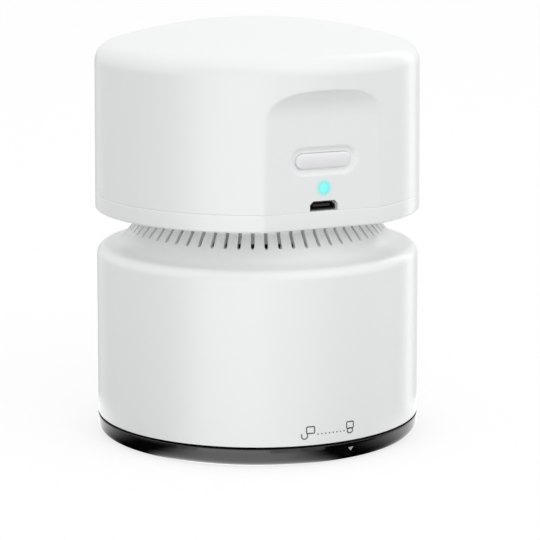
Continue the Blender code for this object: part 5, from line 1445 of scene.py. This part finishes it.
# Soft boxes: azimuth from the camera's, distance and height, width and height, radiance, and
# whether matt and glossy surfaces see it
PANELS = {
    "key_box": (40, 1.3, 1.2, 1.4, 1.4, 0.7, True, True),
    "front_fill": (0, 1.2, 0.35, 1.6, 0.7, 0.35, True, False),
    "bright_strip": (-17, 1.3, -0.5, 1.32, 1.6, 1.35, False, True),
    "wide_strip": (-10, 1.3, -0.5, 2.3, 1.6, 0.65, False, True),
    "edge_strip": (138, 1.3, 0.2, 0.3, 3.0, 1.5, False, True),
}

# Upright cards: both edges' azimuths from the camera's, and shade
CARDS = {
    "left_card": (-104, -58, 0.2),
    "left_side_card": (-142, -104, 0.6),
    "left_rim_card": (-168, -158, 0.3),
    "right_card": (47, 91, 0.0),
    "right_side_card": (91, 128, 0.6),
    "right_rim_card": (149, 160, 0.6),
}

# Patches of the card under the foot: the azimuth of each from the camera's, the turns from
# there at which it ends and is full, and the shade at each. The card lies below the floor, and
# reaches past the ring by a multiple of the height of the body's foot.
FOOT_PATCHES = ((-6.8, 39.5, 7, 0.0, 2.85), (-8, 90, 50, 1.75, 0.0))
FOOT_CARD_DROP = 0.001
FOOT_CARD_REACH = 4
FOOT_CARD_CORNERS = 64


def bare_tree(item, name):
    """Give a piece of the stage a new material, and give back its empty tree."""
    made = bpy.data.materials.new(name)
    made.use_nodes = True
    made.node_tree.nodes.clear()
    item.data.materials.append(made)
    return made.node_tree


def flat_face(work, points):
    """One flat face between points."""
    work.faces.new([work.verts.new(point) for point in points])


def from_camera(degrees, distance, height=0.0):
    """The point at an azimuth counted from the camera's, a distance and a height."""
    return around(sizes("stage").camera_azimuth + math.radians(degrees), distance, height)


def build_world():
    """Even pale light, and plain white for what looks past the object."""
    world = bpy.data.worlds.new("studio")
    bpy.context.scene.world = world
    world.use_nodes = True
    tree = world.node_tree
    tree.nodes.clear()
    rays = node(tree, "ShaderNodeLightPath").outputs
    seen = rays["Is Camera Ray"]
    for ray in ("Is Glossy Ray", "Is Transmission Ray"):
        seen = node(tree, "ShaderNodeMath", {0: seen, 1: rays[ray]}, operation="MAXIMUM")
    lit = node(tree, "ShaderNodeBackground", {"Color": WHITE, "Strength": WORLD_STRENGTH})
    white = node(tree, "ShaderNodeBackground", {"Color": WHITE, "Strength": 1.0})
    both = node(tree, "ShaderNodeMixShader", {0: seen, 1: lit, 2: white})
    node(tree, "ShaderNodeOutputWorld", {"Surface": both})


def build_floor():
    """Painted table: matt and even, as white as the backdrop, and it keeps a soft shadow."""
    half = sizes("stage").floor_size / 2
    corners = ((-half, -half, 0), (half, -half, 0), (half, half, 0), (-half, half, 0))
    floor = piece("floor", flat_face, corners)
    tree = bare_tree(floor, "painted_table")
    seen = node(tree, "ShaderNodeLightPath").outputs["Is Camera Ray"]
    grey = node(tree, "ShaderNodeBsdfDiffuse", {"Color": linear(FLOOR_GREY)})
    white = node(tree, "ShaderNodeBsdfDiffuse", {"Color": linear(FLOOR_WHITE)})
    glow = node(tree, "ShaderNodeEmission", {"Color": WHITE, "Strength": FLOOR_GLOW})
    pale = node(tree, "ShaderNodeMixShader", {0: FLOOR_GLOW_SHARE, 1: white, 2: glow})
    both = node(tree, "ShaderNodeMixShader", {0: seen, 1: grey, 2: pale})
    node(tree, "ShaderNodeOutputMaterial", {"Surface": both})
    floor.visible_glossy = False


def add_panel(name, azimuth, distance, height, width, tall, radiance, matt, glossy):
    """A soft box that faces the object, as its row in the table of soft boxes says."""
    lamp = bpy.data.lights.new(name, "AREA")
    lamp.shape = "RECTANGLE"
    lamp.size = width
    lamp.size_y = tall
    lamp.energy = radiance * math.pi * width * tall
    item = bpy.data.objects.new(name, lamp)
    item.location = from_camera(azimuth, distance, height)
    aim = Vector((0, 0, AIM_HEIGHT)) - item.location
    item.rotation_euler = aim.to_track_quat("-Z", "Y").to_euler()
    item.visible_diffuse = matt
    item.visible_glossy = glossy
    item.visible_camera = False
    bpy.context.scene.collection.objects.link(item)


def add_card(name, points, shade):
    """A card of even light that only reflections see, in one shade or one that nodes give."""
    card = piece(name, flat_face, points)
    tree = bare_tree(card, name)
    strength = shade(tree) if callable(shade) else shade
    glow = node(tree, "ShaderNodeEmission", {"Color": WHITE, "Strength": strength})
    node(tree, "ShaderNodeOutputMaterial", {"Surface": glow})
    card.visible_camera = False
    card.visible_diffuse = False
    card.visible_shadow = False
    card.visible_transmission = False


def foot_shade(tree):
    """Shade of the card that the ring reflects: bright in front and pale at the sides."""
    place = node(tree, "ShaderNodeTexCoord").outputs["Object"]
    away = node(tree, "ShaderNodeVectorMath", {0: place}, operation="NORMALIZE")
    shades = []
    for azimuth, end, full, end_shade, full_shade in FOOT_PATCHES:
        facing = node(tree, "ShaderNodeVectorMath", {
            0: away, 1: from_camera(azimuth, 1.0),
        }, operation="DOT_PRODUCT")
        shades.append(node(tree, "ShaderNodeMapRange", {
            "Value": facing.outputs["Value"], "From Min": math.cos(math.radians(end)),
            "From Max": math.cos(math.radians(full)), "To Min": end_shade, "To Max": full_shade,
        }, interpolation_type="SMOOTHSTEP"))
    return node(tree, "ShaderNodeMath", dict(enumerate(shades)), operation="ADD")


def build_stage():
    """Build the camera, the white floor, the even light and what the object reflects."""
    stage = sizes("stage")
    scene = bpy.context.scene
    lens = bpy.data.cameras.new("camera")
    lens.lens = LENS
    lens.sensor_width = FILM_WIDTH
    lens.clip_end = CLIP_END
    camera = bpy.data.objects.new("camera", lens)
    camera.location = from_camera(0, stage.camera_distance, stage.camera_height)
    camera.rotation_euler = (
        RIGHT_ANGLE - stage.camera_pitch, 0, stage.camera_azimuth - stage.camera_yaw,
    )
    scene.collection.objects.link(camera)
    scene.camera = camera
    scene.view_settings.view_transform = "Standard"
    build_world()
    build_floor()
    for name, row in PANELS.items():
        add_panel(name, *row)
    foot, top = -stage.card_foot, stage.card_top
    for name, (start, end, shade) in CARDS.items():
        add_card(name, [
            from_camera(turn, stage.card_distance, height)
            for turn, height in ((start, foot), (end, foot), (end, top), (start, top))
        ], shade)
    reach = RING_HIGH.x + FOOT_CARD_REACH * BODY_LOW.z
    add_card("foot_card", [
        around(turn, reach, -FOOT_CARD_DROP) for turn in evenly(FOOT_CARD_CORNERS)
    ], foot_shade)


# Operators, in the order in which they run


class VACUUM_OT_cover(bpy.types.Operator):
    """Build the domed cover with its facet, the dish and the openings."""

    bl_idname = "vacuum.cover"
    bl_label = "Cover"

    def execute(self, context):
        build_cover()
        return {"FINISHED"}


class VACUUM_OT_band(bpy.types.Operator):
    """Build the band and the deck under the cover."""

    bl_idname = "vacuum.band"
    bl_label = "Band"

    def execute(self, context):
        build_band()
        return {"FINISHED"}


class VACUUM_OT_body(bpy.types.Operator):
    """Build the body with its vent slots."""

    bl_idname = "vacuum.body"
    bl_label = "Body"

    def execute(self, context):
        build_body()
        return {"FINISHED"}


class VACUUM_OT_ring(bpy.types.Operator):
    """Build the black ring, its plate and its lugs."""

    bl_idname = "vacuum.ring"
    bl_label = "Ring"

    def execute(self, context):
        build_ring()
        return {"FINISHED"}


class VACUUM_OT_duct(bpy.types.Operator):
    """Build the intake duct and its cap."""

    bl_idname = "vacuum.duct"
    bl_label = "Duct"

    def execute(self, context):
        build_duct()
        return {"FINISHED"}


class VACUUM_OT_brushes(bpy.types.Operator):
    """Build the brush strips and their strands."""

    bl_idname = "vacuum.brushes"
    bl_label = "Brushes"

    def execute(self, context):
        build_brushes()
        return {"FINISHED"}


class VACUUM_OT_button(bpy.types.Operator):
    """Build the button."""

    bl_idname = "vacuum.button"
    bl_label = "Button"

    def execute(self, context):
        build_button()
        return {"FINISHED"}


class VACUUM_OT_lamp(bpy.types.Operator):
    """Build the lamp's window."""

    bl_idname = "vacuum.lamp"
    bl_label = "Lamp"

    def execute(self, context):
        build_lamp()
        return {"FINISHED"}


class VACUUM_OT_socket(bpy.types.Operator):
    """Build the charging socket and its tongue."""

    bl_idname = "vacuum.socket"
    bl_label = "Socket"

    def execute(self, context):
        build_socket()
        return {"FINISHED"}


class VACUUM_OT_signs(bpy.types.Operator):
    """Print the signs on the body and the ring."""

    bl_idname = "vacuum.signs"
    bl_label = "Signs"

    def execute(self, context):
        build_signs()
        return {"FINISHED"}


class VACUUM_OT_solids(bpy.types.Operator):
    """Give the inner pieces their finishes."""

    bl_idname = "vacuum.solids"
    bl_label = "Inner pieces"

    def execute(self, context):
        dress_solids()
        return {"FINISHED"}


class VACUUM_OT_stage(bpy.types.Operator):
    """Build the camera, the floor and the lights."""

    bl_idname = "vacuum.stage"
    bl_label = "Stage"

    def execute(self, context):
        build_stage()
        return {"FINISHED"}


OPERATORS = (
    VACUUM_OT_cover, VACUUM_OT_band, VACUUM_OT_body, VACUUM_OT_ring, VACUUM_OT_duct,
    VACUUM_OT_brushes, VACUUM_OT_button, VACUUM_OT_lamp, VACUUM_OT_socket, VACUUM_OT_signs,
    VACUUM_OT_solids, VACUUM_OT_stage,
)


class VACUUM_PT_panel(bpy.types.Panel):
    """Panel that lists the steps of the mini vacuum."""

    bl_idname = "VACUUM_PT_panel"
    bl_label = "Mini vacuum"
    bl_space_type = "VIEW_3D"
    bl_region_type = "UI"
    bl_category = "Mini vacuum"

    def draw(self, context):
        for operator in OPERATORS:
            self.layout.operator(operator.bl_idname)


def register():
    """Register the groups, the operators and the panel."""
    for name, group in GROUPS.items():
        bpy.utils.register_class(group)
        setattr(bpy.types.Scene, name, bpy.props.PointerProperty(type=group))
    for made in (*OPERATORS, VACUUM_PT_panel):
        bpy.utils.register_class(made)


def unregister():
    """Remove what register added."""
    for made in (VACUUM_PT_panel, *reversed(OPERATORS)):
        bpy.utils.unregister_class(made)
    for name, group in reversed(GROUPS.items()):
        delattr(bpy.types.Scene, name)
        bpy.utils.unregister_class(group)


def main():
    """Build the dressed vacuum on its stage."""
    register()
    bpy.ops.vacuum.cover()
    bpy.ops.vacuum.band()
    bpy.ops.vacuum.body()
    bpy.ops.vacuum.ring()
    bpy.ops.vacuum.duct()
    bpy.ops.vacuum.brushes()
    bpy.ops.vacuum.button()
    bpy.ops.vacuum.lamp()
    bpy.ops.vacuum.socket()
    bpy.ops.vacuum.signs()
    bpy.ops.vacuum.solids()
    bpy.ops.vacuum.stage()


if __name__ == "__main__":
    main()
